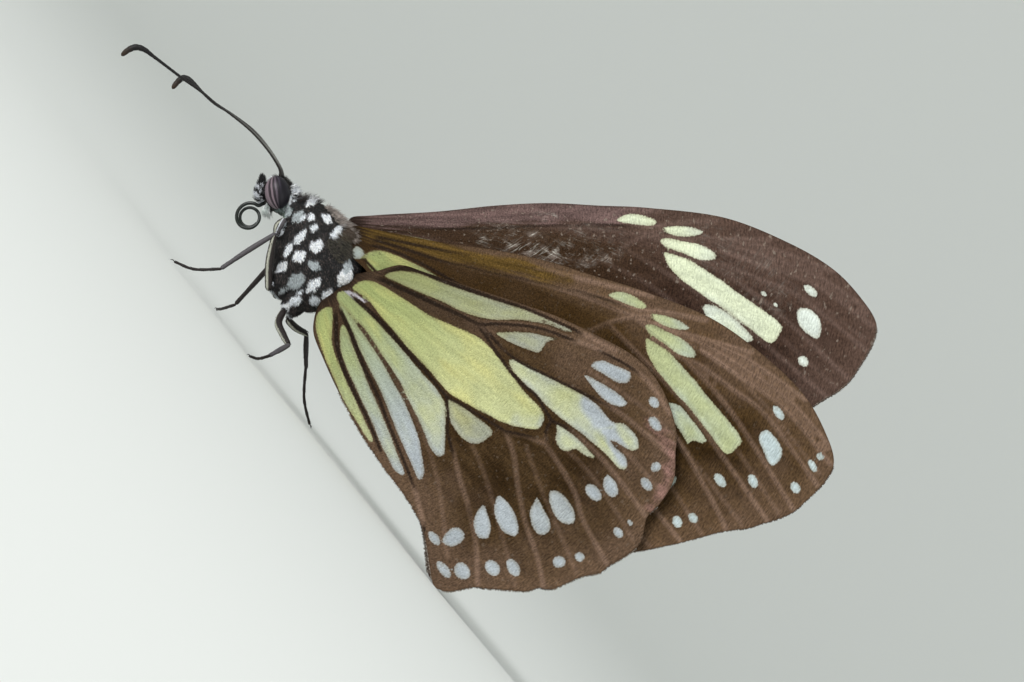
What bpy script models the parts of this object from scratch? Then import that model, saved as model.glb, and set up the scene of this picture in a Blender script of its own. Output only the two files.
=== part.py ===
"""Timor yellow tiger butterfly (Parantica timorica), life size, at rest with its wings closed.

The insect stands on four feet and on the rear lobes of its two hindwings, as it does on a leaf.
+X runs towards the tail, -Y is its left side, Z is up and the floor is z = 0.
Sizes are written in millimetres, and MM turns them into metres.
"""
import math

import bmesh
import bpy
from mathutils import Vector
from mathutils.geometry import delaunay_2d_cdt

MM = 0.001
GAP = 0.3                      # air between one named piece and the next
BOX_CENTRE = (-0.60, 0.42)     # middle of the insect's box in the drawing, which becomes the origin

# Thorax: x, underside z, back z, half width
THORAX = (
    (-14.25, 9.2, 10.9, 0.70),
    (-13.6, 8.3, 11.4, 1.20),
    (-12.8, 7.2, 11.8, 1.60),
    (-11.8, 6.1, 12.2, 1.90),
    (-10.8, 5.2, 12.5, 2.05),
    (-9.8, 4.7, 12.7, 2.10),
    (-8.8, 4.6, 12.7, 2.05),
    (-7.8, 4.7, 12.2, 1.90),
    (-6.8, 5.6, 11.3, 1.65),
    (-6.0, 6.8, 10.4, 1.30),
)
# Head between the eyes: the same four values
HEAD = (
    (-16.80, 9.1, 10.3, 0.40),
    (-16.50, 8.6, 10.8, 0.70),
    (-15.90, 8.25, 11.05, 0.92),
    (-15.20, 8.2, 11.1, 0.95),
    (-14.75, 8.6, 11.0, 0.85),
    (-14.55, 9.1, 10.8, 0.65),
)
EYE_CENTRE = (-15.62, 0.95, 9.80)
EYE_RADII = (1.12, 0.98, 1.30)

ABDOMEN_START = (-6.4, 8.55)   # x and z of its axis where it leaves the thorax
ABDOMEN_END = (11.6, 5.05)
ABDOMEN_SEGMENTS = 8
ABDOMEN_RADIUS = 1.38
ABDOMEN_HEIGHT = 1.12          # its height is this many times its width

# Proboscis: one loose turn carried under the head
COIL_CENTRE = (-15.6, 6.95)
COIL_RADIUS = 0.86
COIL_TUBE = 0.26

# Antennae: distance along the shaft, height, tube radius
ANTENNA_LEFT = (
    (-0.6, 10.4, 0.27), (0.1, 10.85, 0.27), (0.9, 11.2, 0.26), (2.4, 11.38, 0.25), (4.4, 11.28, 0.25),
    (6.5, 10.85, 0.25), (9.3, 10.15, 0.25), (12.4, 9.36, 0.25), (13.7, 9.0, 0.27), (14.5, 8.74, 0.30),
    (15.0, 8.3, 0.31), (15.17, 7.7, 0.29), (15.14, 7.1, 0.22),
)
ANTENNA_RIGHT = (
    (-0.6, 10.4, 0.27), (0.1, 10.8, 0.27), (1.0, 11.15, 0.26), (3.4, 11.44, 0.25), (6.0, 11.43, 0.25),
    (8.8, 11.03, 0.25), (10.8, 10.7, 0.25), (12.5, 10.5, 0.26), (13.9, 10.28, 0.30), (14.8, 9.97, 0.31),
    (15.2, 9.55, 0.31), (15.22, 9.05, 0.29), (15.0, 8.45, 0.22),
)
ANTENNA_ROOT = (-16.45, 0.42)
ANTENNA_YAW = {"left": 14.0, "right": 28.0}     # degrees off the body's line

# Legs: points down each leg as x, distance off the body's middle, z, radius
LEGS = {
    "foreleg_left": ((-12.9, 0.7, 8.1, 0.28), (-13.3, 1.35, 7.4, 0.28), (-14.0, 1.3, 7.9, 0.26),
                     (-13.6, 1.7, 8.8, 0.2)),
    "foreleg_right": ((-12.9, 0.7, 8.1, 0.28), (-13.3, 1.35, 7.4, 0.28), (-14.0, 1.3, 7.9, 0.26),
                      (-13.6, 1.7, 8.8, 0.2)),
    "midleg_left": ((-10.3, 0.7, 6.0, 0.4), (-9.6, 1.8, 4.5, 0.36), (-12.7, 2.7, 7.6, 0.3),
                    (-12.9, 3.3, 5.2, 0.25), (-13.0, 4.0, 2.6, 0.25), (-14.2, 4.5, 1.0, 0.25),
                    (-15.6, 5.0, 0.12, 0.25)),
    "midleg_right": ((-10.3, 0.7, 6.0, 0.4), (-9.6, 1.8, 4.5, 0.36), (-12.5, 2.7, 7.2, 0.3),
                     (-12.2, 3.4, 4.6, 0.25), (-12.0, 4.0, 1.9, 0.25), (-12.6, 5.4, 0.9, 0.25),
                     (-13.2, 6.8, 0.12, 0.25)),
    "hindleg_left": ((-8.0, 0.6, 5.8, 0.4), (-7.7, 1.1, 4.4, 0.38), (-7.0, 1.6, 3.6, 0.34),
                     (-4.85, 3.5, 3.1, 0.3), (-4.7, 4.9, 1.25, 0.25), (-5.0, 5.9, 0.55, 0.25),
                     (-5.4, 6.9, 0.12, 0.25)),
    "hindleg_right": ((-8.0, 0.6, 5.8, 0.4), (-7.6, 1.1, 4.4, 0.38), (-7.4, 1.5, 3.9, 0.34),
                      (-6.05, 3.0, 4.6, 0.3), (-4.25, 3.9, 2.75, 0.25), (-2.6, 4.6, 1.15, 0.25),
                      (-0.9, 5.7, 0.12, 0.25)),
}
PALP = ((-15.75, 0.62, 8.95, 0.24), (-16.3, 0.8, 8.4, 0.29), (-16.95, 0.68, 8.85, 0.3),
        (-17.35, 0.58, 9.4, 0.24), (-17.75, 0.5, 9.75, 0.12))

# Wings lie almost flat. In a wing's own plane u runs from its hinge out along the wing
# and v runs towards its rear edge.
WING_THICKNESS = 0.5
RIDGE = 0.15                   # how far a vein stands up from each face
RIDGE_WIDTH = 0.42             # half the foot of that ridge near the hinge
FOREWING_PLANE = 0.95          # distance of a forewing from the body's middle
HINDWING_PLANE = 2.15
CAMBER = 0.0003                # the closed wings lean together towards their rims, per mm

FOREWING = {
    "front": ((-1.2, -0.9), (0.6, -1.6), (5.5, -2.9), (10.0, -4.3), (14.0, -5.3), (18.0, -5.9), (22.0, -6.5),
              (28.0, -6.9), (33.5, -5.9), (37.4, -4.5), (40.2, -2.5)),
    "rim": ((41.5, -1.0), (41.6, 0.4), (41.3, 1.6), (40.5, 3.7), (39.7, 4.8), (38.5, 5.9), (36.4, 7.5),
            (35.3, 8.4), (33.6, 9.9), (31.7, 11.4), (30.3, 12.4), (27.3, 14.6)),
    "rear": ((25.0, 15.4), (22.6, 14.9), (16.0, 10.9), (8.0, 6.0), (3.5, 2.9), (1.5, 1.6), (-0.4, 0.9)),
    "veins": {
        "subcosta": ((0.0, -0.7), (6.0, -2.4), (13.0, -4.5), (19.0, -5.9), (24.5, -6.6)),
        "radius": ((0.0, -0.4), (8.0, -2.5), (16.0, -4.2), (23.4, -5.3)),
        "radius_1": ((17.0, -4.4), (23.0, -5.9), (29.5, -6.6)),
        "radius_2": ((21.5, -5.0), (28.0, -5.7), (34.0, -5.4)),
        "radius_4": ((23.4, -5.3), (31.0, -4.8), (37.0, -3.6), (40.8, -1.9)),
        "radius_5": ((26.5, -4.9), (33.0, -3.9), (37.0, -2.6), (41.4, -0.5)),
        "media_1": ((23.4, -5.2), (29.0, -3.9), (35.2, -1.9), (41.3, 1.2)),
        "media_2": ((22.5, -4.3), (27.0, -3.2), (31.5, -1.5), (35.3, 0.6), (40.3, 3.7)),
        "media_3": ((20.6, -3.3), (25.0, -1.4), (29.8, 0.5), (33.8, 2.6), (38.9, 5.4)),
        "cubitus_1": ((18.0, -2.7), (24.0, -0.1), (30.3, 3.2), (36.3, 7.5)),
        "cubitus_2": ((11.0, -1.9), (19.0, 2.4), (27.0, 6.7), (33.5, 9.8)),
        "cubitus": ((0.0, 0.0), (6.0, -1.1), (12.0, -2.0), (20.6, -3.3)),
        "cell_end": ((23.4, -5.3), (22.5, -4.3), (20.6, -3.3)),
        "anal": ((0.0, 0.3), (8.0, 3.8), (18.0, 9.2), (27.0, 14.1)),
    },
}
HINDWING = {
    "front": ((-0.3, -2.1), (0.4, -3.1), (1.4, -5.0), (3.3, -6.2), (6.3, -8.1), (9.3, -10.0), (12.3, -11.8),
              (15.3, -13.2), (18.3, -14.4), (20.8, -14.7), (23.3, -14.2)),
    "rim": ((25.4, -13.2), (26.7, -12.1), (28.2, -10.7), (28.9, -8.8), (29.2, -7.3), (30.3, -5.8),
            (30.5, -4.2), (30.3, -2.4), (29.6, -0.3), (29.0, 1.7), (28.1, 2.8), (26.5, 4.9), (25.0, 6.3),
            (24.1, 7.9), (22.8, 8.7)),
    "rear": ((21.4, 8.0), (18.0, 6.4), (12.8, 6.1), (9.3, 5.8), (7.3, 5.4), (5.3, 4.9), (3.3, 4.4),
             (1.3, 3.7), (0.3, 3.0), (-0.6, 1.9), (-0.9, 0.4), (-0.9, -1.1)),
    "veins": {
        "subcosta": ((0.1, -2.2), (1.0, -3.6), (2.2, -5.3), (6.3, -7.1), (10.3, -9.3), (14.3, -12.0),
                     (18.0, -13.8)),
        "radius": ((0.0, -1.6), (1.5, -2.9), (4.5, -4.1), (9.0, -6.3), (10.8, -8.7), (13.8, -11.0),
                   (17.5, -12.7), (24.3, -13.5)),
        "media_1": ((10.8, -6.6), (15.3, -8.0), (19.3, -10.0), (23.3, -11.2), (26.8, -11.7)),
        "cell_top": ((9.0, -6.3), (10.8, -6.6), (14.5, -6.3), (18.3, -6.4)),
        "media_2": ((18.3, -6.4), (21.8, -7.3), (25.3, -7.4), (28.9, -7.3)),
        "cell_end": ((18.3, -6.4), (18.9, -5.4), (19.6, -4.8), (18.5, -4.2), (16.9, -3.1)),
        "media_3": ((19.6, -4.8), (24.3, -4.1), (30.1, -2.6)),
        "cubitus": ((-0.3, -0.2), (6.3, -0.9), (11.6, -1.2), (14.3, -2.0), (16.9, -3.1)),
        "cubitus_1": ((16.9, -3.1), (20.8, -1.1), (24.8, 0.8), (28.4, 2.5)),
        "cubitus_2": ((11.6, -1.2), (15.0, 1.1), (19.8, 3.1), (24.9, 6.0)),
        "anal_2": ((-0.2, 0.8), (4.3, 2.1), (8.3, 3.1), (13.3, 4.2), (21.5, 7.9)),
        "anal_3": ((0.0, 1.2), (2.0, 2.1), (4.3, 3.3), (7.3, 4.1), (12.8, 5.6)),
    },
}
# Each wing: its shape, side, hinge x and z, degrees that its length rises, distance off the middle
WINGS = {
    "forewing_left": (FOREWING, -1, -8.19, 12.2, 24.3, FOREWING_PLANE),
    "forewing_right": (FOREWING, 1, -9.19, 12.9, 38.7, FOREWING_PLANE),
    "hindwing_left": (HINDWING, -1, -5.80, 8.9, -0.75, HINDWING_PLANE),
    "hindwing_right": (HINDWING, 1, -7.00, 9.68, -2.55, HINDWING_PLANE),
}


# Starting clean

def clear_scene():
    for item in list(bpy.data.objects):
        bpy.data.objects.remove(item, do_unlink=True)


def collection(name):
    group = bpy.data.collections.new(name)
    bpy.context.scene.collection.children.link(group)
    return group


def material(name, colour, roughness):
    finish = bpy.data.materials.new(name)
    finish.use_nodes = True
    shader = finish.node_tree.nodes["Principled BSDF"]
    shader.inputs["Base Color"].default_value = (*colour, 1.0)
    shader.inputs["Roughness"].default_value = roughness
    shader.inputs["Metallic"].default_value = 0.0
    return finish


# Meshes

def to_world(point):
    return Vector(((point[0] - BOX_CENTRE[0]) * MM, (point[1] - BOX_CENTRE[1]) * MM, point[2] * MM))


def add_piece(name, shape, group, finish=None):
    """Make one named object from vertices in millimetres and faces."""
    points, faces = shape
    mesh = bpy.data.meshes.new(name)
    mesh.from_pydata([to_world(p) for p in points], [], faces)
    tidy = bmesh.new()
    tidy.from_mesh(mesh)
    bmesh.ops.recalc_face_normals(tidy, faces=tidy.faces)
    tidy.to_mesh(mesh)
    tidy.free()
    if finish:
        mesh.materials.append(finish)
    piece = bpy.data.objects.new(name, mesh)
    group.objects.link(piece)
    return piece


def loft(rings):
    """Skin a row of rings that have the same number of points, and cap both ends."""
    count = len(rings[0])
    points = [p for ring in rings for p in ring]
    faces = []
    for row in range(len(rings) - 1):
        for i in range(count):
            j = (i + 1) % count
            a = row * count
            faces.append((a + i, a + j, a + count + j, a + count + i))
    faces.append(tuple(range(count - 1, -1, -1)))
    faces.append(tuple(range((len(rings) - 1) * count, len(rings) * count)))
    return points, faces


def upright_ring(x, low, high, half_width, sides, grow=0.0):
    """An oval across the body, from its lowest to its highest point."""
    middle = (low + high) / 2
    height = (high - low) / 2 + grow
    width = half_width + grow
    turns = [2 * math.pi * i / sides for i in range(sides)]
    return [Vector((x, width * math.cos(t), middle + height * math.sin(t))) for t in turns]


def body_shape(stations, sides, grow=0.0):
    """The thorax or the head, optionally grown on every side to cut its neighbours clear."""
    rings = [upright_ring(*station, sides, grow) for station in stations]
    for ring, step in ((rings[0], -grow), (rings[-1], grow)):
        for point in ring:
            point.x += step
    return loft(rings)


def smooth_path(points, steps):
    """A curve through the points, with this many steps from one to the next."""
    points = [Vector(p) for p in points]
    padded = [2 * points[0] - points[1], *points, 2 * points[-1] - points[-2]]
    path = []
    for a, b, c, d in zip(padded, padded[1:], padded[2:], padded[3:]):
        for step in range(steps):
            t = step / steps
            path.append(0.5 * (2 * b + (c - a) * t + (2 * a - 5 * b + 4 * c - d) * t * t
                               + (3 * b - a - 3 * c + d) * t ** 3))
    path.append(points[-1])
    return path


def tube(points, radii, sides):
    """A closed tube along the points."""
    rings = []
    side = Vector((0, 0, 1))
    for i, point in enumerate(points):
        ahead = points[min(i + 1, len(points) - 1)]
        behind = points[max(i - 1, 0)]
        along = (ahead - behind).normalized()
        side = (side - along * side.dot(along)).normalized()
        up = along.cross(side)
        turns = [2 * math.pi * k / sides for k in range(sides)]
        rings.append([point + radii[i] * (side * math.cos(t) + up * math.sin(t)) for t in turns])
    return loft(rings)


def limb_shape(joints, side, sides=8):
    """A leg: straight segments with a rounded bend at each joint, wide enough for its thickness."""
    joints = [(Vector((x, side * y, z)), radius) for x, y, z, radius in joints]
    points = [joints[0][0]]
    radii = [joints[0][1]]
    for (before, _), (here, radius), (after, _) in zip(joints, joints[1:], joints[2:]):
        back = before - here
        on = after - here
        half_turn = (math.pi - back.angle(on)) / 2
        bend = max(0.28, 1.15 * radius * math.tan(half_turn))
        bend = min(bend, 0.45 * back.length, 0.45 * on.length)
        start = here + back.normalized() * bend
        end = here + on.normalized() * bend
        steps = 4 if half_turn > math.radians(35) else 2
        for step in range(steps + 1):
            t = step / steps
            points.append(start * (1 - t) ** 2 + here * 2 * t * (1 - t) + end * t * t)
            radii.append(radius)
    points.append(joints[-1][0])
    radii.append(joints[-1][1])
    return tube(points, radii, sides)


def tapered_shape(profile, side, steps):
    """A smooth bent cone, such as a palp: points as x, distance off the middle, z, radius."""
    path = smooth_path([(x, side * y, z) for x, y, z, _ in profile], steps)
    radii = []
    for i in range(len(path)):
        low = min(i // steps, len(profile) - 2)
        t = i / steps - low
        radii.append(profile[low][3] * (1 - t) + profile[low + 1][3] * t)
    return tube(path, radii, 8)


# Cutting pieces clear of each other

def cut(piece, cutter):
    """Cut one object clear of another, and keep the largest closed surface that is left."""
    for solver in ("EXACT", "MANIFOLD"):
        modifier = piece.modifiers.new("clear", "BOOLEAN")
        modifier.operation = "DIFFERENCE"
        modifier.solver = solver
        modifier.object = cutter
        seen = piece.evaluated_get(bpy.context.evaluated_depsgraph_get())
        result = bpy.data.meshes.new_from_object(seen)
        piece.modifiers.clear()
        if len(result.polygons):
            break
    piece.data = result
    keep_largest(piece)


def keep_largest(piece):
    shell = bmesh.new()
    shell.from_mesh(piece.data)
    bmesh.ops.remove_doubles(shell, verts=shell.verts, dist=1e-7)
    left = set(shell.verts)
    groups = []
    while left:
        found = {left.pop()}
        edge_of = list(found)
        while edge_of:
            vertex = edge_of.pop()
            for edge in vertex.link_edges:
                other = edge.other_vert(vertex)
                if other in left:
                    left.discard(other)
                    found.add(other)
                    edge_of.append(other)
        groups.append(found)
    groups.sort(key=len)
    loose = [vertex for group in groups[:-1] for vertex in group]
    bmesh.ops.delete(shell, geom=loose, context="VERTS")
    shell.to_mesh(piece.data)
    shell.free()


def stand_on_floor(piece):
    """Cut what reaches below the floor, which leaves a small flat."""
    sole = bmesh.new()
    sole.from_mesh(piece.data)
    everything = sole.verts[:] + sole.edges[:] + sole.faces[:]
    bmesh.ops.bisect_plane(sole, geom=everything, dist=1e-7, plane_co=(0, 0, 0), plane_no=(0, 0, -1),
                           clear_outer=True)
    rim = [edge for edge in sole.edges if edge.is_boundary]
    bmesh.ops.contextual_create(sole, geom=rim)
    sole.to_mesh(piece.data)
    sole.free()


# Wings

def wing_outline(shape):
    points = [Vector(p) for part in ("front", "rim", "rear") for p in shape[part]]
    closed = [points[-1], *points, points[0], points[1]]
    outline = []
    for a, b, c, d in zip(closed, closed[1:], closed[2:], closed[3:]):
        steps = max(1, round((c - b).length / 1.6))
        for step in range(steps):
            t = step / steps
            outline.append(0.5 * (2 * b + (c - a) * t + (2 * a - 5 * b + 4 * c - d) * t * t
                                  + (3 * b - a - 3 * c + d) * t ** 3))
    return outline


def inside(point, outline):
    crossings = 0
    for a, b in zip(outline, outline[1:] + outline[:1]):
        if (a.y > point.y) != (b.y > point.y):
            if point.x < a.x + (point.y - a.y) / (b.y - a.y) * (b.x - a.x):
                crossings += 1
    return crossings % 2 == 1


def distance_to_line(point, line):
    best = 1e9
    for a, b in zip(line, line[1:]):
        run = b - a
        t = min(1.0, max(0.0, (point - a).dot(run) / run.length_squared))
        best = min(best, (point - a - run * t).length)
    return best


def ridge_half_width(u):
    """Veins thin out from the hinge to the rim."""
    return RIDGE_WIDTH * (1.0 - 0.4 * min(1.0, max(0.0, u / 40.0)))


def ridge_height(point, veins, outline):
    height = 0.0
    for vein in veins:
        away = distance_to_line(point, vein)
        height = max(height, 1.0 - away / ridge_half_width(point.x))
    to_rim = distance_to_line(point, outline + outline[:1])
    return RIDGE * max(0.0, height) * min(1.0, to_rim / 0.8)


def wing_sheet(shape):
    """Triangles of one wing in its own plane, with the height of each corner above the membrane."""
    outline = wing_outline(shape)
    veins = [smooth_path(line, max(2, round((Vector(line[-1]) - Vector(line[0])).length / len(line) / 1.6)))
             for line in shape["veins"].values()]
    points = list(outline)
    edges = [(i, (i + 1) % len(outline)) for i in range(len(outline))]
    for vein in veins:
        for offset in (-1, 0, 1):
            start = len(points)
            for i, here in enumerate(vein):
                run = vein[min(i + 1, len(vein) - 1)] - vein[max(i - 1, 0)]
                across = Vector((-run.y, run.x)).normalized()
                place = here + across * offset * ridge_half_width(here.x)
                if inside(place, outline) and distance_to_line(place, outline + outline[:1]) > 0.35:
                    points.append(place)
            edges += [(i, i + 1) for i in range(start, len(points) - 1)]
    # A loose grid carries the gentle curve between the veins
    for i in range(-1, 17):
        for j in range(-6, 7):
            place = Vector((i * 2.8 + (1.4 if j % 2 else 0.0), j * 2.6))
            if not inside(place, outline) or distance_to_line(place, outline + outline[:1]) < 0.9:
                continue
            if min(distance_to_line(place, vein) for vein in veins) > 0.9:
                points.append(place)
    corners, _, faces, _, _, _ = delaunay_2d_cdt(points, edges, [], 1, 0.02)
    heights = [ridge_height(corner, veins, outline) for corner in corners]
    return corners, faces, heights


def wing_shape(shape, side, hinge_x, hinge_z, rise, plane):
    corners, faces, heights = wing_sheet(shape)
    rise = math.radians(rise)
    upper = []
    lower = []
    for corner, height in zip(corners, heights):
        x = hinge_x + corner.x * math.cos(rise) + corner.y * math.sin(rise)
        z = hinge_z + corner.x * math.sin(rise) - corner.y * math.cos(rise)
        lean = CAMBER * ((x - 5.0) ** 2 + (z - 14.0) ** 2)
        middle = plane - lean - root_dip(shape, corner)
        half = WING_THICKNESS / 2 + height
        upper.append((x, side * (middle + half), z))
        lower.append((x, side * (middle - half), z))
    count = len(corners)
    solid = [tuple(face) for face in faces]
    solid += [tuple(count + i for i in reversed(face)) for face in faces]
    directed = {(face[i], face[(i + 1) % len(face)]) for face in faces for i in range(len(face))}
    for a, b in directed:
        if (b, a) not in directed:
            solid += [(b, a, count + a), (b, count + a, count + b)]
    return upper + lower, solid


def root_dip(shape, corner):
    """A hindwing turns in towards its hinge on the side of the thorax."""
    if shape is not HINDWING:
        return 0.0
    t = min(1.0, max(0.0, (0.25 - corner.x) / 1.3))
    return 0.95 * t * t * (3 - 2 * t)


# Body

def abdomen_shape():
    rings = []
    steps = 3 * ABDOMEN_SEGMENTS
    for i in range(steps + 1):
        t = i / steps
        x = ABDOMEN_START[0] + (ABDOMEN_END[0] - ABDOMEN_START[0]) * t
        sag = 0.5 * math.sin(math.pi * t)
        z = ABDOMEN_START[1] + (ABDOMEN_END[1] - ABDOMEN_START[1]) * t - sag
        fullness = 0.86 + 0.5 * t - 0.15 * t * t if t < 0.35 else 1.03 - 0.9 * (t - 0.35) ** 2
        end = min(1.0, math.sqrt(max(0.0, (1.0 - t) / 0.10)) * 0.9 + 0.1)
        groove = 0.94 if i % 3 == 0 else 1.0
        radius = ABDOMEN_RADIUS * fullness * end * groove
        rings.append(upright_ring(x, z - radius * ABDOMEN_HEIGHT, z + radius * ABDOMEN_HEIGHT, radius, 14))
    return loft(rings)


def abdomen_cutter_shape():
    points, faces = abdomen_shape()
    middle = Vector(((ABDOMEN_START[0] + ABDOMEN_END[0]) / 2, 0, (ABDOMEN_START[1] + ABDOMEN_END[1]) / 2))
    slope = (ABDOMEN_END[1] - ABDOMEN_START[1]) / (ABDOMEN_END[0] - ABDOMEN_START[0])
    grown = []
    for point in points:
        axis = Vector((point.x, 0, middle.z + slope * (point.x - middle.x)))
        away = point - axis
        grown.append(point + away.normalized() * GAP)
    return grown, faces


def eye_shape(side, grow=0.0):
    rings = []
    for i in range(1, 10):
        polar = math.pi * i / 10
        y = math.cos(polar) * (EYE_RADII[1] + grow)
        ring = []
        for k in range(16):
            t = 2 * math.pi * k / 16
            x = EYE_CENTRE[0] + math.sin(polar) * (EYE_RADII[0] + grow) * math.cos(t)
            z = EYE_CENTRE[2] + math.sin(polar) * (EYE_RADII[2] + grow) * math.sin(t)
            ring.append(Vector((x, side * (EYE_CENTRE[1] + y), z)))
        rings.append(ring)
    return loft(rings)


def proboscis_shape():
    """A stem from under the face, then most of one turn."""
    points = [Vector((-16.0, 0, 8.9)), Vector((-16.3, 0, 8.3)), Vector((-16.55, 0, 7.7))]
    for i in range(22):
        turn = math.radians(165 + 295 * i / 21)
        radius = COIL_RADIUS + 0.10 * (1 - i / 21)
        points.append(Vector((COIL_CENTRE[0] + radius * math.cos(turn), 0,
                              COIL_CENTRE[1] + radius * math.sin(turn))))
    radii = [COIL_TUBE] * (len(points) - 1) + [0.2]
    return tube(points, radii, 8)


def antenna_shape(profile, side, yaw):
    """A feeler, whose profile is laid out along its own direction."""
    yaw = math.radians(yaw)
    bent = [(ANTENNA_ROOT[0] - along * math.cos(yaw), ANTENNA_ROOT[1] + along * math.sin(yaw), height, radius)
            for along, height, radius in profile]
    return tapered_shape(bent, side, 2)


# The whole insect

def build():
    clear_scene()
    butterfly = collection("timor_yellow_tiger")
    cutters = collection("cutters")
    dark = material("dark_scales", (0.035, 0.028, 0.026), 0.75)
    belly = material("abdomen_brown", (0.16, 0.09, 0.05), 0.75)
    brown = material("wing_brown", (0.13, 0.085, 0.06), 0.7)
    eye_finish = material("eye_brown", (0.10, 0.06, 0.07), 0.3)
    leg_finish = material("leg_grey", (0.07, 0.06, 0.06), 0.6)

    thorax_clear = add_piece("cut_thorax", body_shape(THORAX, 24, GAP), cutters)
    head_clear = add_piece("cut_head", body_shape(HEAD, 20, GAP), cutters)
    abdomen_clear = add_piece("cut_abdomen", abdomen_cutter_shape(), cutters)
    eye_clear = {name: add_piece("cut_eye_" + name, eye_shape(side, GAP), cutters)
                 for name, side in (("left", -1), ("right", 1))}
    for cutter in cutters.objects:
        cutter.hide_render = True
        cutter.display_type = "WIRE"

    add_piece("thorax", body_shape(THORAX, 24), butterfly, dark)
    add_piece("head", body_shape(HEAD, 20), butterfly, dark)
    cut(add_piece("abdomen", abdomen_shape(), butterfly, belly), thorax_clear)
    cut(add_piece("proboscis", proboscis_shape(), butterfly, dark), head_clear)

    for name, side in (("left", -1), ("right", 1)):
        cut(add_piece("eye_" + name, eye_shape(side), butterfly, eye_finish), head_clear)
        palp = add_piece("palp_" + name, tapered_shape(PALP, side, 2), butterfly, dark)
        profile = ANTENNA_LEFT if side < 0 else ANTENNA_RIGHT
        antenna = add_piece("antenna_" + name, antenna_shape(profile, side, ANTENNA_YAW[name]), butterfly, dark)
        for piece in (palp, antenna):
            cut(piece, head_clear)
            cut(piece, eye_clear[name])

    for name, joints in LEGS.items():
        side = -1 if name.endswith("left") else 1
        leg = add_piece(name, limb_shape(joints, side), butterfly, leg_finish)
        cut(leg, thorax_clear)
        if not name.startswith("foreleg"):
            stand_on_floor(leg)

    for name, settings in WINGS.items():
        wing = add_piece(name, wing_shape(*settings), butterfly, brown)
        cut(wing, thorax_clear)
        if name.startswith("hindwing"):
            cut(wing, abdomen_clear)
            stand_on_floor(wing)

    for piece in butterfly.objects:
        piece.data.shade_smooth()
        piece.data.set_sharp_from_angle(angle=math.radians(40))


build()
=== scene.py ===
"""Looks of the timor yellow tiger butterfly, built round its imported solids.

Sizes are written in millimetres in the insect's own drawing, where +X runs to the tail,
-Y is the left side that faces the camera and z = 0 is the floor.
"""
import math

import bpy
import numpy as np
from mathutils import Matrix, Vector
from mathutils.geometry import delaunay_2d_cdt


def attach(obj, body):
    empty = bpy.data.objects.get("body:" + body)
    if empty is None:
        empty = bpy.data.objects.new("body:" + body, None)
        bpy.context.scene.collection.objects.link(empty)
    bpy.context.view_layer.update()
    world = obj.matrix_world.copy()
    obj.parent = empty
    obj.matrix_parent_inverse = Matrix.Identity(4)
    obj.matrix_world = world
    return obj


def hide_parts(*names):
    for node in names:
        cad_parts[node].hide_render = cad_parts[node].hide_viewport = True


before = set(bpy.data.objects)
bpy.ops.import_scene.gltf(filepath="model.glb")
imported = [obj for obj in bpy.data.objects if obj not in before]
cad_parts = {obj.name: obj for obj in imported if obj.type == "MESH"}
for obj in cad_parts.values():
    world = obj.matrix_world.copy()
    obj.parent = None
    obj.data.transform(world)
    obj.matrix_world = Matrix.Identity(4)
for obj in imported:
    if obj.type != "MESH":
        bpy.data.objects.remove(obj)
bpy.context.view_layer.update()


# The camera looks at the insect's left side, a little from behind, through a long lens.
# It is rolled, because the insect stood on a steep leaf and here stands on a level floor.

MM = 0.001
DRAWING_CENTRE = Vector((-0.60, 0.42, 0.0))    # the drawing's place of the frame's origin


def place(x, y, z):
    """A point of the drawing, in the frame's metres."""
    return (Vector((x, y, z)) - DRAWING_CENTRE) * MM


aim = place(5.39, 0.0, 16.74)
camera_turn = math.radians(12.0)
camera_roll = math.radians(50.8)
camera_distance = 0.8
picture_width = 0.08025
back = Vector((math.sin(camera_turn), -math.cos(camera_turn), 0.0))
level = Vector((math.cos(camera_turn), math.sin(camera_turn), 0.0))
up = Vector((0.0, 0.0, 1.0))
right = level * math.cos(camera_roll) + up * math.sin(camera_roll)
top = up * math.cos(camera_roll) - level * math.sin(camera_roll)

bpy.ops.object.select_all(action="DESELECT")
bpy.ops.object.camera_add(location=aim + back * camera_distance)
camera = bpy.context.object
camera.name = "camera"
camera.rotation_mode = "QUATERNION"
camera.rotation_quaternion = Matrix((right, top, back)).transposed().to_quaternion()
camera.data.sensor_width = 36.0
camera.data.lens = 36.0 * camera_distance / picture_width
camera.data.clip_start = 0.05
camera.data.clip_end = 20.0
bpy.context.scene.camera = camera


# A plain pale sheet: the floor, swept up far behind the insect into a backdrop.

bpy.ops.object.select_all(action="DESELECT")
bpy.ops.mesh.primitive_plane_add(size=1.0, location=(0.0, 0.0, 0.0))
floor = bpy.context.object
floor.name = "floor_sheet"
floor.scale = (6.0, 2.6, 1.0)
floor.location = (0.0, -0.4, -0.00002)
bpy.ops.object.transform_apply(location=True, rotation=True, scale=True)
sweep_radius = 0.8
sweep_steps = 16
backdrop_height = 2.5
bpy.ops.object.mode_set(mode="EDIT")
bpy.ops.mesh.select_all(action="DESELECT")
bpy.ops.object.mode_set(mode="OBJECT")
far_side = max(v.co.y for v in floor.data.vertices)
for edge in floor.data.edges:
    edge.select = all(floor.data.vertices[i].co.y == far_side for i in edge.vertices)
bpy.ops.object.mode_set(mode="EDIT")
bpy.ops.mesh.select_mode(type="EDGE")
for i in range(sweep_steps):
    turn = math.radians(90.0) * (i + 0.5) / sweep_steps
    step = sweep_radius * math.radians(90.0) / sweep_steps
    bpy.ops.mesh.extrude_edges_move(
        TRANSFORM_OT_translate={"value": (0.0, step * math.cos(turn), step * math.sin(turn))})
bpy.ops.mesh.extrude_edges_move(TRANSFORM_OT_translate={"value": (0.0, 0.0, backdrop_height)})
bpy.ops.object.mode_set(mode="OBJECT")
floor.data.shade_smooth()
pale = bpy.data.materials.new("pale_sheet")
pale.use_nodes = True
pale.node_tree.nodes["Principled BSDF"].inputs["Base Color"].default_value = (0.78, 0.79, 0.77, 1.0)
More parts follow.
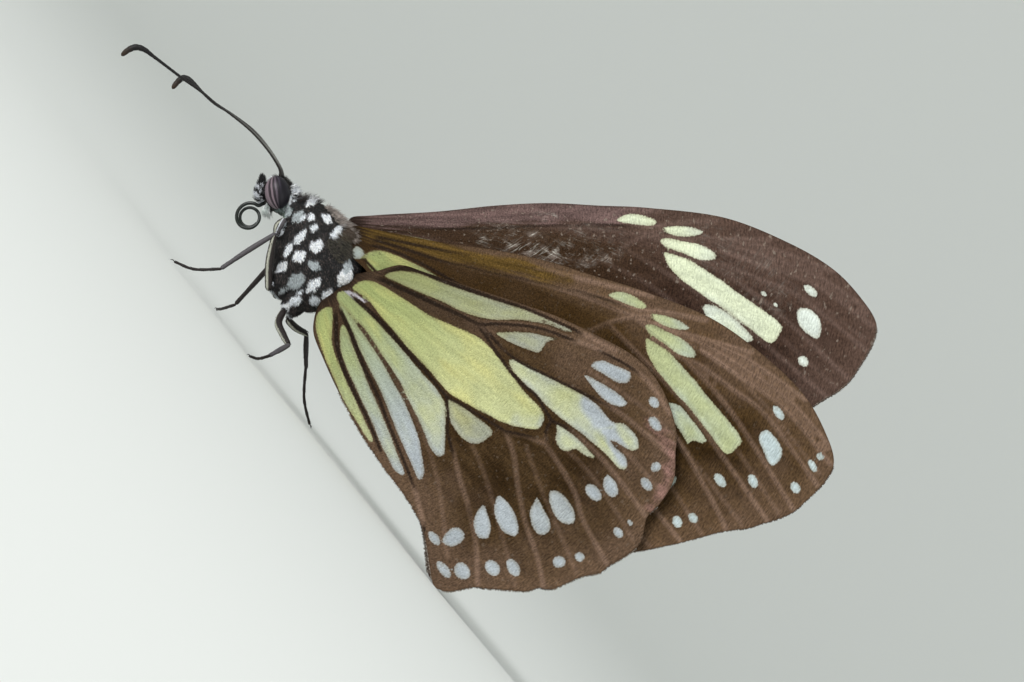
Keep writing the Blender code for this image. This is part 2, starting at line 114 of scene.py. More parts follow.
pale.node_tree.nodes["Principled BSDF"].inputs["Roughness"].default_value = 0.9
floor.data.materials.append(pale)


# Soft studio light from the upper left of the picture, with a weak fill from behind the camera.

world = bpy.data.worlds.new("studio")
world.use_nodes = True
world.node_tree.nodes["Background"].inputs["Color"].default_value = (0.80, 0.84, 0.82, 1.0)
world.node_tree.nodes["Background"].inputs["Strength"].default_value = 0.75
bpy.context.scene.world = world
bpy.context.scene.view_settings.view_transform = "Standard"


def soft_light(name, direction, distance, size, power):
    """A square area light aimed at the insect."""
    light = bpy.data.lights.new(name, "AREA")
    light.shape = "SQUARE"
    light.size = size
    light.energy = power
    lamp = bpy.data.objects.new(name, light)
    bpy.context.scene.collection.objects.link(lamp)
    lamp.location = aim + direction.normalized() * distance
    lamp.rotation_mode = "QUATERNION"
    lamp.rotation_quaternion = direction.to_track_quat("Z", "Y")


soft_light("key_light", back * 0.8 + top * 0.9 - right * 0.3, 1.0, 0.5, 8.0)
soft_light("fill_light", back + right * 0.8 - top * 0.2, 0.9, 0.6, 1.2)


# Shader sums are written as plain expressions: 1 - mask adds its Math node by itself.

class Wire:
    """The output of a shader node, which can be added, multiplied and so on."""

    def __init__(self, finish, socket):
        self.finish = finish
        self.socket = socket

    def sum(self, operation, *values):
        names = dict(enumerate(values))
        return self.finish.node("Math", {"operation": operation}, names)

    def __add__(self, other):
        return self.sum("ADD", self, other)

    def __sub__(self, other):
        return self.sum("SUBTRACT", self, other)

    def __rsub__(self, other):
        return self.sum("SUBTRACT", other, self)

    def __mul__(self, other):
        return self.sum("MULTIPLY", self, other)

    def __truediv__(self, other):
        return self.sum("DIVIDE", self, other)

    __radd__ = __add__
    __rmul__ = __mul__


class Finish:
    """A material being put together round one Principled shader."""

    def __init__(self, name, **constants):
        self.material = bpy.data.materials.new(name)
        self.material.use_nodes = True
        self.tree = self.material.node_tree
        self.shader = self.tree.nodes["Principled BSDF"]
        for socket, value in constants.items():
            self.shader.inputs[socket.replace("_", " ")].default_value = value

    def join(self, socket, value):
        if isinstance(value, Wire):
            self.tree.links.new(value.socket, socket)
        else:
            socket.default_value = value

    def node(self, kind, settings=None, sockets=None, output=0):
        made = self.tree.nodes.new("ShaderNode" + kind)
        for name, value in (settings or {}).items():
            setattr(made, name, value)
        for name, value in (sockets or {}).items():
            self.join(made.inputs[name], value)
        return Wire(self, made.outputs[output])

    def attribute(self, name):
        return self.node("Attribute", {"attribute_name": name}, output=2)

    def noise(self, vector, scale, detail=2.0):
        """Soft random values round 0.5."""
        return self.node("TexNoise", {}, {"Vector": vector, "Scale": scale, "Detail": detail})

    def texture(self, lie, outwards, across, detail=2.0, low=0.3, high=0.7):
        """Soft random values from 0 to 1, finer outwards and across as those scales grow."""
        stretched = self.node("Mapping", {}, {"Vector": lie, "Scale": (outwards, across, 1.0)})
        return self.step(self.noise(stretched, 1.0, detail), low, high)

    def step(self, value, low, high):
        """0 below low, 1 above high and a soft rise between them."""
        settings = {"interpolation_type": "SMOOTHSTEP"}
        return self.node("MapRange", settings, {"Value": value, "From Min": low, "From Max": high})

    def mix(self, mask, below, above):
        """One colour over another where the mask is 1."""
        below = (*below, 1.0) if isinstance(below, tuple) else below
        above = (*above, 1.0) if isinstance(above, tuple) else above
        return self.node("Mix", {"data_type": "RGBA"}, {0: mask, 6: below, 7: above}, output=2)

    def shade(self, colour, amount):
        """A colour made lighter or darker by a number."""
        grey = self.node("CombineColor", {}, {"Red": amount, "Green": amount, "Blue": amount})
        settings = {"data_type": "RGBA", "blend_type": "MULTIPLY"}
        return self.node("Mix", settings, {0: 1.0, 6: colour, 7: grey}, output=2)

    def finish(self, colour, height=None, depth=0.0, roughness=None):
        self.join(self.shader.inputs["Base Color"], colour)
        if roughness is not None:
            self.join(self.shader.inputs["Roughness"], roughness)
        if height is not None:
            bump = self.node("Bump", {}, {"Height": height, "Strength": 1.0, "Distance": depth})
            self.join(self.shader.inputs["Normal"], bump)
        return self.material


# Wings: four thin membranes stiffened by hollow veins, which stand up on both faces.
# Each is laid out flat, u from the hinge out along the wing and v towards the rear edge,
# and is then set upright beside its neighbour, in the middle of its solid.

def curve_through(points, spacing, closed=False):
    """Evenly stepped points of a smooth curve through the given ones."""
    points = np.array(points, float)
    if closed:
        run = np.vstack([points[-1:], points, points[:2]])
    else:
        run = np.vstack([2 * points[:1] - points[1:2], points, 2 * points[-1:] - points[-2:-1]])
    steps = []
    for a, b, c, d in zip(run, run[1:], run[2:], run[3:]):
        count = max(1, round(float(np.linalg.norm(c - b)) / spacing))
        t = (np.arange(count) / count)[:, None]
        steps.append(0.5 * (2 * b + (c - a) * t + (2 * a - 5 * b + 4 * c - d) * t ** 2
                            + (3 * b - a - 3 * c + d) * t ** 3))
    if not closed:
        steps.append(points[-1:])
    return np.vstack(steps)


def distance_to(points, line, closed=False):
    """How far each point is from a line of straight steps."""
    ends = np.vstack([line, line[:1]]) if closed else line
    best = np.full(len(points), 1e9)
    for a, b in zip(ends, ends[1:]):
        run = b - a
        t = np.clip(((points - a) @ run) / (run @ run), 0.0, 1.0)
        best = np.minimum(best, np.hypot(*(points - a - t[:, None] * run).T))
    return best


def depth_inside(points, loop):
    """Distance to a closed line, above zero inside it and below zero outside."""
    crossings = np.zeros(len(points), int)
    for a, b in zip(loop, np.vstack([loop[1:], loop[:1]])):
        if a[1] == b[1]:
            continue
        level_with = (a[1] > points[:, 1]) != (b[1] > points[:, 1])
        meets = a[0] + (points[:, 1] - a[1]) / (b[1] - a[1]) * (b[0] - a[0])
        crossings += level_with & (points[:, 0] < meets)
    away = distance_to(points, loop, closed=True)
    return np.where(crossings % 2 == 1, away, -away)


def oval(centre, length, width, degrees=0.0):
    """An oval spot as a closed line."""
    turn = np.radians(degrees)
    angles = np.arange(14) * 2 * np.pi / 14
    x = np.cos(angles) * length / 2
    y = np.sin(angles) * width / 2
    return np.stack([centre[0] + x * np.cos(turn) - y * np.sin(turn),
                     centre[1] + x * np.sin(turn) + y * np.cos(turn)], axis=1)


def patch(*points):
    """A marking with rounded corners, through a few points of its edge."""
    return curve_through(points, 0.3, closed=True)


# Forewing, laid out flat. Its markings are loops in the same plane, each with a number
# that says how blue its white is: 0 is pale yellow, 1 is bluish white and 1.4 is lilac.

fore_outline = (
    (-1.2, -0.9), (0.6, -1.6), (5.5, -2.9), (10.0, -4.3), (14.0, -5.3), (18.0, -5.9), (22.0, -6.5),
    (28.0, -6.9), (33.5, -5.9), (37.4, -4.5), (40.2, -2.5), (41.5, -1.0), (41.6, 0.4), (41.3, 1.6),
    (40.9, 2.7), (40.5, 3.7), (39.7, 4.8), (38.5, 5.9), (37.8, 6.6), (36.4, 7.5), (35.3, 8.4),
    (33.6, 9.9), (31.7, 11.4), (30.3, 12.4), (27.3, 14.6), (25.0, 15.4), (22.6, 14.9), (16.0, 10.9),
    (8.0, 6.0), (3.5, 2.9), (1.5, 1.6), (-0.4, 0.9),
)
fore_veins = {
    "subcosta": ((0.0, -0.9), (6.0, -2.4), (12.0, -4.1), (18.0, -5.4), (22.8, -6.45)),
    "radius": ((0.0, -0.5), (1.8, -1.0), (6.5, -1.7), (10.2, -2.5), (14.3, -3.5), (17.8, -4.1),
               (22.0, -4.4), (23.3, -4.9)),
    "radius_1": ((17.0, -4.15), (20.0, -4.7), (21.6, -4.85), (23.0, -5.25), (24.5, -5.8), (27.5, -6.6)),
    "radius_2": ((21.6, -4.3), (23.2, -4.45), (24.6, -4.55), (26.2, -4.85), (28.0, -5.2), (31.8, -5.85)),
    "radius_3": ((27.4, -5.1), (32.0, -5.2), (37.3, -4.4)),
    "radius_4": ((26.6, -4.85), (30.0, -4.7), (36.0, -3.8), (40.8, -1.9)),
    "radius_5": ((28.3, -4.3), (32.0, -3.8), (36.5, -2.95), (41.4, -0.7)),
    "media_1": ((24.4, -3.5), (26.9, -3.12), (28.6, -3.2), (32.0, -2.6), (35.2, -1.9), (41.2, 1.2)),
    "media_2": ((22.6, -4.3), (27.0, -3.2), (31.5, -1.5), (35.3, 0.6), (37.9, 2.2), (40.3, 3.7)),
    "media_3": ((20.6, -3.0), (25.5, -1.3), (29.8, 0.45), (33.8, 2.6), (38.9, 5.4)),
    "cubitus_1": ((19.4, -1.6), (24.0, -0.2), (30.3, 3.2), (34.5, 6.0), (36.3, 7.4)),
    "cubitus_2": ((11.0, -0.5), (20.0, 3.0), (27.0, 6.8), (33.5, 9.8)),
    "cubitus": ((0.6, -0.3), (2.6, -0.68), (4.9, -0.8), (6.5, -0.75), (9.0, -0.6), (12.0, -0.6),
                (19.4, -1.6)),
    "cell_end": ((23.3, -4.9), (22.0, -4.2), (20.6, -3.0), (19.4, -1.6)),
    "anal": ((0.3, 0.6), (10.0, 4.4), (18.0, 9.0), (26.8, 14.3)),
}
fore_folds = (
    ((24.0, -4.7), (32.0, -3.6), (40.9, 0.3)),
    ((26.0, -2.0), (33.0, 0.8), (39.6, 4.6)),
    ((26.0, 0.8), (33.0, 4.4), (37.4, 6.6)),
    ((22.0, 1.8), (29.0, 5.2), (34.8, 8.6)),
    ((14.0, 2.2), (24.0, 8.2), (31.5, 11.2)),
)
long_bar = patch((23.9, -3.3), (25.2, -3.2), (27.0, -2.7), (30.3, -1.3), (33.9, 0.35), (34.2, 1.2),
                 (33.7, 2.1), (32.6, 1.7), (29.9, 0.4), (27.0, -0.8), (25.2, -1.7), (24.3, -2.5))
fore_under_marks = (
    (patch((19.7, -5.05), (20.2, -5.6), (21.1, -5.82), (22.4, -5.72), (22.8, -5.45), (22.2, -5.1),
           (21.1, -4.98), (20.3, -4.95)), 0.1),
    (patch((23.3, -4.98), (24.0, -5.42), (25.3, -5.66), (26.5, -5.5), (26.1, -5.06), (24.7, -4.74)), 0.1),
    (patch((23.3, -4.1), (23.8, -4.48), (25.2, -4.45), (26.6, -4.42), (27.8, -4.05), (27.95, -3.55),
           (26.8, -3.28), (25.3, -3.5), (24.0, -3.72)), 0.0),
    (long_bar, -0.1),
    (patch((27.8, 0.5), (28.7, 0.33), (29.9, 0.84), (31.3, 1.55), (31.8, 1.88), (31.6, 2.2), (30.8, 2.36),
           (30.6, 2.75), (30.0, 2.39), (29.1, 1.84), (28.4, 1.21)), 0.0),
    (patch((35.3, -0.6), (35.7, -0.98), (36.4, -0.74), (37.3, -0.2), (37.65, 0.51), (37.4, 1.29),
           (36.9, 1.25), (36.1, 0.58), (35.4, -0.06)), 0.9),
    (oval((35.85, -2.55), 1.35, 0.62, 28), 0.7),
    (oval((40.35, -0.95), 0.65, 0.6), 1.0),
    (oval((40.15, 0.0), 1.1, 0.55, 36), 1.0),
    (oval((39.7, 2.12), 1.0, 0.72, 40), 0.9),
    (oval((36.5, 3.13), 1.15, 0.72, 40), 0.9),
    (oval((34.15, 4.18), 1.3, 0.72, 25), 0.5),
    (oval((33.6, 7.76), 0.95, 0.72, 20), 0.9),
    (oval((32.6, 8.55), 1.0, 0.75, 45), 0.9),
    (oval((30.6, 6.24), 1.75, 0.7, -68), 0.3),
    (oval((28.6, 10.4), 1.0, 0.7, 30), 0.8),
    (oval((27.4, 12.0), 1.0, 0.7, 30), 0.8),
    (oval((26.2, 9.0), 1.6, 0.9, 30), 0.7),
    (patch((1.0, 0.3), (1.6, -0.25), (2.6, -0.45), (3.7, -0.55), (4.9, -0.55), (6.5, -0.45), (9.0, -0.1),
           (12.0, 0.6), (15.2, 2.2), (11.0, 3.2), (7.5, 2.8), (4.0, 2.0), (2.2, 1.5), (1.3, 1.1)), 0.1),
    (patch((-0.1, 0.2), (0.45, 0.25), (0.85, 0.6), (0.6, 1.0), (0.2, 1.2), (-0.2, 0.9)), 1.0),
)
fore_upper_marks = (
    *fore_under_marks[:4],
    (patch((27.8, 0.34), (28.4, 0.02), (29.9, 0.45), (31.5, 1.43), (32.25, 2.08), (31.5, 2.5),
           (30.0, 2.0), (28.5, 1.24)), 0.15),
    (patch((35.2, -0.9), (36.1, -1.12), (37.0, -0.52), (37.4, 0.46), (37.2, 1.05), (36.2, 0.75),
           (35.4, 0.03)), 0.7),
    fore_under_marks[6],
    (oval((36.5, 3.02), 0.95, 0.75, 40), 0.8),
    fore_under_marks[11],
    (oval((32.3, -1.6), 0.5, 0.35, 30), 0.9),
    (oval((33.4, -0.9), 0.4, 0.3, 30), 0.9),
    fore_under_marks[-2],
)

# Hindwing, laid out flat in the same way.
# The left one is almost level, so its places are read from the picture as x and z.

hind_hinge_seen = np.array((-6.26, 8.9))
hind_droop = math.radians(0.75)         # how far the wing is turned down at its hinge


def hind(*seen):
    """Places on the left hindwing as x and z in the picture, turned into u and v.

    The wing is turned down a little, to rest on the floor; all but its lowest rim is turned back.
    """
    flat = np.array(seen) * (1, -1) + (-hind_hinge_seen[0], hind_hinge_seen[1])
    raised = np.clip((hind_hinge_seen[1] - flat[:, 1] - 1.0) / 5.0, 0.0, 1.0)
    flat[:, 1] -= math.sin(hind_droop) * flat[:, 0] * raised
    return flat


hind_outline = hind(
    (-6.6, 11.0), (-5.9, 12.0), (-5.4, 13.2), (-4.8, 14.0), (-3.0, 15.1), (0.0, 17.0), (3.0, 18.9),
    (6.0, 20.7), (9.0, 22.1), (12.0, 23.3), (14.5, 23.6), (17.0, 23.1), (19.1, 22.15), (20.3, 21.1),
    (21.9, 19.65), (22.67, 17.7), (22.9, 16.2), (24.1, 14.65), (24.25, 13.1), (24.0, 11.4), (24.04, 10.7),
    (23.3, 9.2), (22.7, 7.0), (21.9, 6.2), (21.5, 5.3), (20.2, 4.0), (19.4, 3.2), (18.65, 2.5),
    (17.8, 1.0), (17.1, 0.4), (16.5, 0.28), (15.2, 0.95), (13.2, 2.0), (11.7, 2.5), (9.5, 2.75),
    (6.5, 2.85), (3.0, 3.15), (1.0, 3.5), (-1.0, 3.9), (-3.0, 4.4), (-5.0, 5.0), (-6.0, 5.8),
    (-6.9, 7.0), (-7.2, 8.5), (-7.2, 10.0),
)
hind_veins = {
    "subcosta": hind((-6.2, 11.2), (-5.9, 11.8), (-5.2, 13.0), (-4.6, 13.9), (-3.8, 14.6), (-2.2, 15.4),
                     (-0.5, 16.4), (1.1, 17.4), (2.7, 18.4), (4.3, 19.4), (7.5, 21.0), (11.0, 22.5)),
    "radius": hind((-6.2, 11.0), (-5.4, 11.7), (-3.8, 12.5), (-2.2, 13.3), (-0.5, 14.1), (1.1, 14.9),
                   (2.6, 15.6), (3.3, 16.5), (4.3, 17.6), (5.9, 19.1), (8.3, 20.5), (10.0, 21.5),
                   (14.0, 22.9), (17.6, 22.7)),
    "media_1": hind((2.6, 15.6), (3.5, 15.7), (6.4, 16.0), (9.9, 17.5), (13.0, 18.9), (15.0, 19.7),
                    (18.0, 20.3), (20.5, 20.8)),
    "cell_top": hind((2.6, 15.5), (5.9, 15.2), (8.3, 15.2), (9.9, 15.5), (12.2, 15.2)),
    "media_2": hind((12.2, 15.2), (13.5, 15.8), (15.5, 16.2), (18.0, 16.4), (22.7, 16.2)),
    "cell_end": hind((12.2, 15.2), (12.6, 14.3), (13.3, 13.7), (12.0, 13.0), (10.6, 11.9)),
    "media_3": hind((13.3, 13.7), (16.0, 13.4), (18.0, 13.0), (20.0, 12.2), (23.8, 11.5)),
    "cubitus": hind((-6.4, 9.1), (-3.0, 9.66), (0.0, 9.85), (2.7, 10.0), (5.4, 10.05), (6.7, 10.55),
                    (8.3, 11.1), (9.5, 11.5), (10.6, 11.9)),
    "cubitus_1": hind((10.6, 11.9), (12.5, 11.2), (14.5, 10.0), (16.0, 9.2), (17.5, 8.5), (20.0, 7.6),
                      (22.2, 6.5)),
    "cubitus_2": hind((5.4, 10.05), (6.9, 9.1), (7.8, 8.3), (9.5, 7.6), (11.0, 6.9), (13.5, 5.9),
                      (16.0, 4.7), (18.7, 2.9)),
    "anal_2": hind((-6.3, 8.1), (-3.45, 7.4), (-1.7, 6.85), (0.0, 6.35), (2.0, 5.9), (4.3, 5.2),
                   (7.5, 4.3), (10.0, 3.5), (13.0, 2.2)),
    "anal_3": hind((-6.1, 7.8), (-4.9, 7.15), (-3.8, 6.3), (-2.8, 5.7), (-1.35, 5.15), (0.7, 4.65),
                   (2.7, 4.25), (5.6, 3.45)),
}
hind_folds = (
    hind((-3.0, 8.35), (0.0, 8.0), (2.0, 7.75), (4.3, 7.3), (7.5, 6.5), (11.0, 5.0), (15.5, 2.4)),
    hind((15.3, 17.75), (18.5, 18.2), (22.3, 18.3)),
    hind((13.5, 14.6), (18.0, 14.9), (23.6, 14.3)),
    hind((12.5, 12.4), (16.0, 11.2), (23.0, 9.2)),
    hind((9.0, 9.4), (13.0, 8.2), (20.6, 5.0)),
    hind((11.0, 20.0), (16.0, 21.4), (19.0, 21.8)),
)


def hind_patch(*seen):
    return patch(*hind(*seen))


hind_marks = (
    (hind_patch((-5.2, 12.2), (-4.9, 13.2), (-3.8, 14.3), (-2.1, 15.3), (-0.1, 16.45), (1.9, 17.75),
                (3.9, 19.05), (6.0, 20.1), (7.6, 20.95), (7.4, 20.5), (6.0, 19.7), (4.6, 18.5),
                (3.4, 17.2), (2.4, 16.1), (1.1, 15.3), (-0.6, 14.5), (-2.3, 13.6), (-3.9, 12.8)), 0.45),
    (hind_patch((4.0, 16.2), (4.6, 17.1), (5.6, 18.2), (6.5, 18.9), (7.35, 19.6), (7.0, 18.8),
                (7.3, 17.8), (6.6, 17.3), (5.3, 16.6)), 0.45),
    (hind_patch((-6.0, 9.75), (-6.0, 10.6), (-5.3, 11.3), (-3.0, 12.2), (-0.5, 13.0), (1.3, 13.9),
                (3.1, 14.8), (5.0, 15.1), (8.3, 15.0), (11.2, 15.1), (11.9, 14.6), (12.0, 14.0),
                (11.4, 13.3), (10.4, 12.5), (9.5, 12.0), (8.2, 11.4), (6.4, 10.75), (5.2, 10.35),
                (3.0, 10.25), (0.0, 10.1), (-3.0, 10.0), (-4.6, 10.05)), 0.0),
    (hind_patch((-6.3, 9.22), (-5.4, 9.62), (-4.4, 9.9), (-4.5, 9.68), (-5.4, 9.35), (-6.2, 9.02)), 1.4),
    (hind_patch((6.3, 15.65), (7.3, 16.4), (9.9, 17.4), (11.6, 18.2), (13.3, 18.7), (15.2, 18.8),
                (15.9, 19.4), (17.2, 19.6), (18.1, 19.15), (18.0, 18.6), (17.3, 18.25), (16.6, 18.0),
                (16.4, 17.8), (17.0, 17.75), (18.1, 17.9), (18.8, 17.4), (18.5, 16.95), (16.8, 16.85),
                (14.6, 16.4), (12.2, 15.85), (9.0, 15.45), (7.2, 15.35)), 0.3),
    (hind_patch((12.6, 15.3), (14.0, 15.8), (15.6, 16.0), (16.7, 16.05), (16.2, 15.6), (15.1, 15.3),
                (14.9, 14.7), (14.4, 14.35), (13.6, 14.5), (13.1, 15.0)), 0.30),
    (hind_patch((5.8, 10.0), (7.2, 10.55), (8.6, 10.95), (9.9, 11.1), (10.1, 10.3), (9.8, 9.4),
                (8.9, 8.95), (8.0, 8.95), (6.9, 9.25)), 0.5),
    (hind_patch((-6.2, 8.95), (-3.0, 9.35), (0.0, 9.55), (3.0, 9.7), (5.2, 9.7), (6.7, 8.85), (8.1, 7.8),
                (8.95, 7.0), (8.85, 6.6), (8.0, 6.5), (6.3, 6.95), (4.3, 7.45), (2.2, 7.9), (0.0, 8.15),
                (-2.2, 8.35), (-4.5, 8.35), (-6.1, 8.3)), 0.45),
    (hind_patch((-5.6, 8.1), (-3.0, 8.1), (0.0, 7.8), (2.3, 7.45), (4.3, 7.05), (6.3, 6.4), (8.0, 5.6),
                (9.2, 4.9), (9.3, 4.35), (8.3, 4.55), (6.4, 5.1), (4.3, 5.7), (2.0, 6.35), (-0.3, 6.85),
                (-2.3, 7.35), (-4.3, 7.85)), 0.85),
    (hind_patch((-4.1, 7.2), (-2.4, 6.7), (-0.3, 6.1), (2.0, 5.5), (4.3, 4.85), (6.6, 4.2), (8.2, 3.75),
                (7.5, 3.4), (5.8, 3.75), (3.4, 4.4), (0.9, 4.95), (-1.2, 5.45), (-2.6, 5.95),
                (-3.4, 6.5)), 0.6),
    (hind_patch((-5.9, 7.3), (-5.2, 6.9), (-4.2, 6.0), (-3.0, 5.35), (-1.5, 4.85), (0.6, 4.35),
                (2.6, 3.9), (4.5, 3.4), (2.0, 3.55), (0.0, 3.9), (-2.0, 4.4), (-4.0, 5.0), (-5.3, 5.6),
                (-6.1, 6.4)), 0.15),
    (hind_patch((10.7, 20.3), (10.9, 21.2), (12.2, 21.9), (13.1, 22.3), (13.6, 21.8), (13.1, 21.1),
                (11.8, 20.6)), 1.0),
    (hind_patch((11.0, 19.45), (12.3, 19.35), (13.8, 19.5), (14.7, 20.0), (14.8, 20.65), (13.6, 20.55),
                (12.2, 20.0)), 0.8),
    (hind_patch((18.3, 15.9), (19.2, 16.05), (20.0, 15.6), (19.9, 15.05), (19.1, 14.95),
                (18.5, 15.3)), 1.0),
    (hind_patch((16.5, 11.7), (17.0, 12.15), (18.2, 12.25), (19.2, 12.0), (19.6, 11.4), (19.0, 10.85),
                (18.2, 10.75), (17.2, 11.05)), 1.0),
    (hind_patch((16.2, 10.55), (17.2, 10.4), (18.4, 10.1), (19.0, 9.5), (18.7, 8.85), (17.8, 8.85),
                (17.0, 9.25), (16.5, 9.9)), 1.0),
    (hind_patch((14.2, 8.2), (14.9, 8.5), (16.2, 8.35), (17.3, 7.9), (17.5, 7.3), (16.8, 6.85),
                (15.8, 6.95), (14.9, 7.35)), 1.0),
    (hind_patch((14.0, 6.9), (14.6, 6.85), (15.7, 6.3), (16.3, 5.6), (15.9, 5.1), (15.1, 5.25),
                (14.4, 5.8)), 1.0),
    (hind_patch((13.9, 3.6), (14.1, 4.3), (14.9, 4.5), (15.3, 3.9), (15.0, 3.05), (14.3, 2.85)), 1.0),
    *((oval(hind(centre)[0], length, width, turn), 1.0) for centre, length, width, turn in (
        ((16.1, 22.3), 0.95, 0.7, 0), ((17.5, 21.3), 1.35, 0.8, 0), ((20.2, 19.2), 0.75, 0.85, 0),
        ((20.8, 17.8), 1.25, 0.8, 0), ((18.7, 14.2), 1.65, 1.0, 0), ((22.4, 14.9), 0.6, 0.4, 0),
        ((22.4, 13.7), 0.95, 0.7, 0), ((22.0, 10.2), 0.8, 0.7, 0), ((21.3, 8.7), 0.95, 1.05, 20),
        ((19.4, 5.7), 1.5, 0.95, 10), ((18.4, 4.5), 1.35, 1.05, 0), ((13.7, 2.5), 1.3, 0.7, 0),
        ((17.1, 2.6), 1.5, 1.15, 0), ((16.1, 1.6), 1.6, 0.75, 0))),
)

# Building a wing: the outline, the vein crests and the feet of their ridges are drawn first,
# a loose grid fills the membrane, and the whole is cut into triangles used on both faces.

membrane_half = 0.04        # half the membrane's thickness
vein_height = 0.09
sheet_grain = 0.33          # the sides of the membrane's triangles
camber = 0.0003             # how strongly the wings bow in towards each other
wing_map_width = 46.0       # how many millimetres of wing the baking map is wide
hair_centre = np.array((-6.0, 0.0))     # the scales of a wing lie outwards from here


def vein_half_width(u):
    return 0.25 - 0.0026 * np.clip(u, 0.0, 45.0)


def round_markings(marks, rim):
    """Places on, just inside and just outside the edge of each marking."""
    places = []
    for loop, _ in marks:
        run = np.roll(loop, -1, axis=0) - np.roll(loop, 1, axis=0)
        across = np.stack([-run[:, 1], run[:, 0]], axis=1) / np.linalg.norm(run, axis=1)[:, None]
        places += [loop, (loop + across * 0.13)[::2], (loop - across * 0.13)[::2], loop.mean(axis=0)[None]]
    places = np.vstack(places)
    return places[depth_inside(places, rim) > 0.12]


def wing_sheet(outline, veins, marks):
    """Corners and triangles of one flat wing, with its rim and vein lines."""
    rim = curve_through(outline, 0.3, closed=True)
    crests = [curve_through(line, 0.4) for line in veins.values()]
    points = [rim]
    edges = [(i, (i + 1) % len(rim)) for i in range(len(rim))]
    count = len(rim)
    for crest in crests:
        run = np.gradient(crest, axis=0)
        across = np.stack([-run[:, 1], run[:, 0]], axis=1) / np.linalg.norm(run, axis=1)[:, None]
        for side in (-1, 0, 1):
            line = crest + side * across * vein_half_width(crest[:, :1])
            line = line[depth_inside(line, rim) > 0.12]
            points.append(line)
            edges += [(count + i, count + i + 1) for i in range(len(line) - 1)]
            count += len(line)
    low, high = rim.min(axis=0), rim.max(axis=0)
    across, along = np.meshgrid(np.arange(low[1], high[1], sheet_grain * 0.87),
                                np.arange(low[0], high[0], sheet_grain), indexing="ij")
    along[1::2] += sheet_grain / 2
    grid = np.stack([along.ravel(), across.ravel()], axis=1)
    grid = grid[depth_inside(grid, rim) > 0.2]
    to_vein = np.min([distance_to(grid, crest) for crest in crests], axis=0)
    to_mark = np.min([distance_to(grid, loop, closed=True) for loop, _ in marks], axis=0)
    points.append(grid[(to_vein > 0.36) & (to_mark > 0.18)])
    beside = round_markings(marks, rim)
    to_vein = np.min([distance_to(beside, crest) for crest in crests], axis=0)
    points.append(beside[to_vein > 0.30])
    flat = [Vector(p) for p in np.vstack(points)]
    corners, _, triangles, _, _, _ = delaunay_2d_cdt(flat, edges, [], 1, 0.01)
    return np.array([tuple(c) for c in corners]), [tuple(t) for t in triangles], rim, crests


def marking_values(corners, marks):
    """Depth inside the nearest marking, and how blue that marking is."""
    depth = np.full(len(corners), -9.0)
    blue = np.zeros(len(corners))
    for loop, blueness in marks:
        here = depth_inside(corners, loop)
        blue = np.where(here > depth, blueness, blue)
        depth = np.maximum(depth, here)
    return depth, blue


def upright(corners, away, side, hinge, rise):
    """Turn flat places into the drawing: away is the distance from the body's middle plane."""
    rise = math.radians(rise)
    x = hinge[0] + corners[:, 0] * math.cos(rise) + corners[:, 1] * math.sin(rise)
    z = hinge[1] + corners[:, 0] * math.sin(rise) - corners[:, 1] * math.cos(rise)
    lean = camber * ((x - 5.0) ** 2 + (z - 14.0) ** 2)
    return np.stack([x, side * (away - lean), z], axis=1)


def in_frame(points):
    return (points - np.array(DRAWING_CENTRE)) * MM


def new_piece(name, points, faces):
    """An object of the given faces, its points in the drawing's millimetres."""
    mesh = bpy.data.meshes.new(name)
    mesh.from_pydata(in_frame(points), [], faces)
    piece = bpy.data.objects.new(name, mesh)
    bpy.context.scene.collection.objects.link(piece)
    return piece


def corner_points(mesh):
    """Which point of the mesh stands at each corner of its faces."""
    loops = np.zeros(len(mesh.loops), int)
    mesh.loops.foreach_get("vertex_index", loops)
    return loops


def wing_bake_map(corners, loops, first_wall, walls):
    """Places on the baking map: outer face below, inner face above it, walls of the rim at the top."""
    flat = (corners - corners.min(axis=0)) / wing_map_width
    both = np.vstack([flat * 0.98 + (0.005, 0.005), flat * 0.98 + (0.005, 0.505)])
    bake = both[loops]
    row = 0.01 + 0.98 * np.arange(walls) / walls
    corner_row = np.stack([row, row + 0.9 / walls, row + 0.9 / walls, row], axis=1)
    corner_height = np.tile((0.988, 0.988, 0.996, 0.996), (walls, 1))
    bake[first_wall:] = np.stack([corner_row.ravel(), corner_height.ravel()], axis=1)
    return bake


def wing_faces(triangles, count, side):
    """Triangles of both faces and the walls of the rim between them, all turned outwards."""
    faces = list(triangles) + [tuple(count + i for i in reversed(face)) for face in triangles]
    directed = {(face[i], face[(i + 1) % 3]) for face in triangles for i in range(3)}
    rim_edges = [(a, b) for a, b in directed if (b, a) not in directed]
    faces += [(b, a, count + a, count + b) for a, b in rim_edges]
    if side > 0:
        faces = [tuple(reversed(face)) for face in faces]
    return faces, len(rim_edges)


def keep_values(mesh, values):
    """Keep numbers for the points of a wing, first those of its outer face and then its inner one."""
    for name, numbers in values.items():
        layer = mesh.attributes.new(name, "FLOAT", "POINT")
        layer.data.foreach_set("value", np.hstack(numbers))


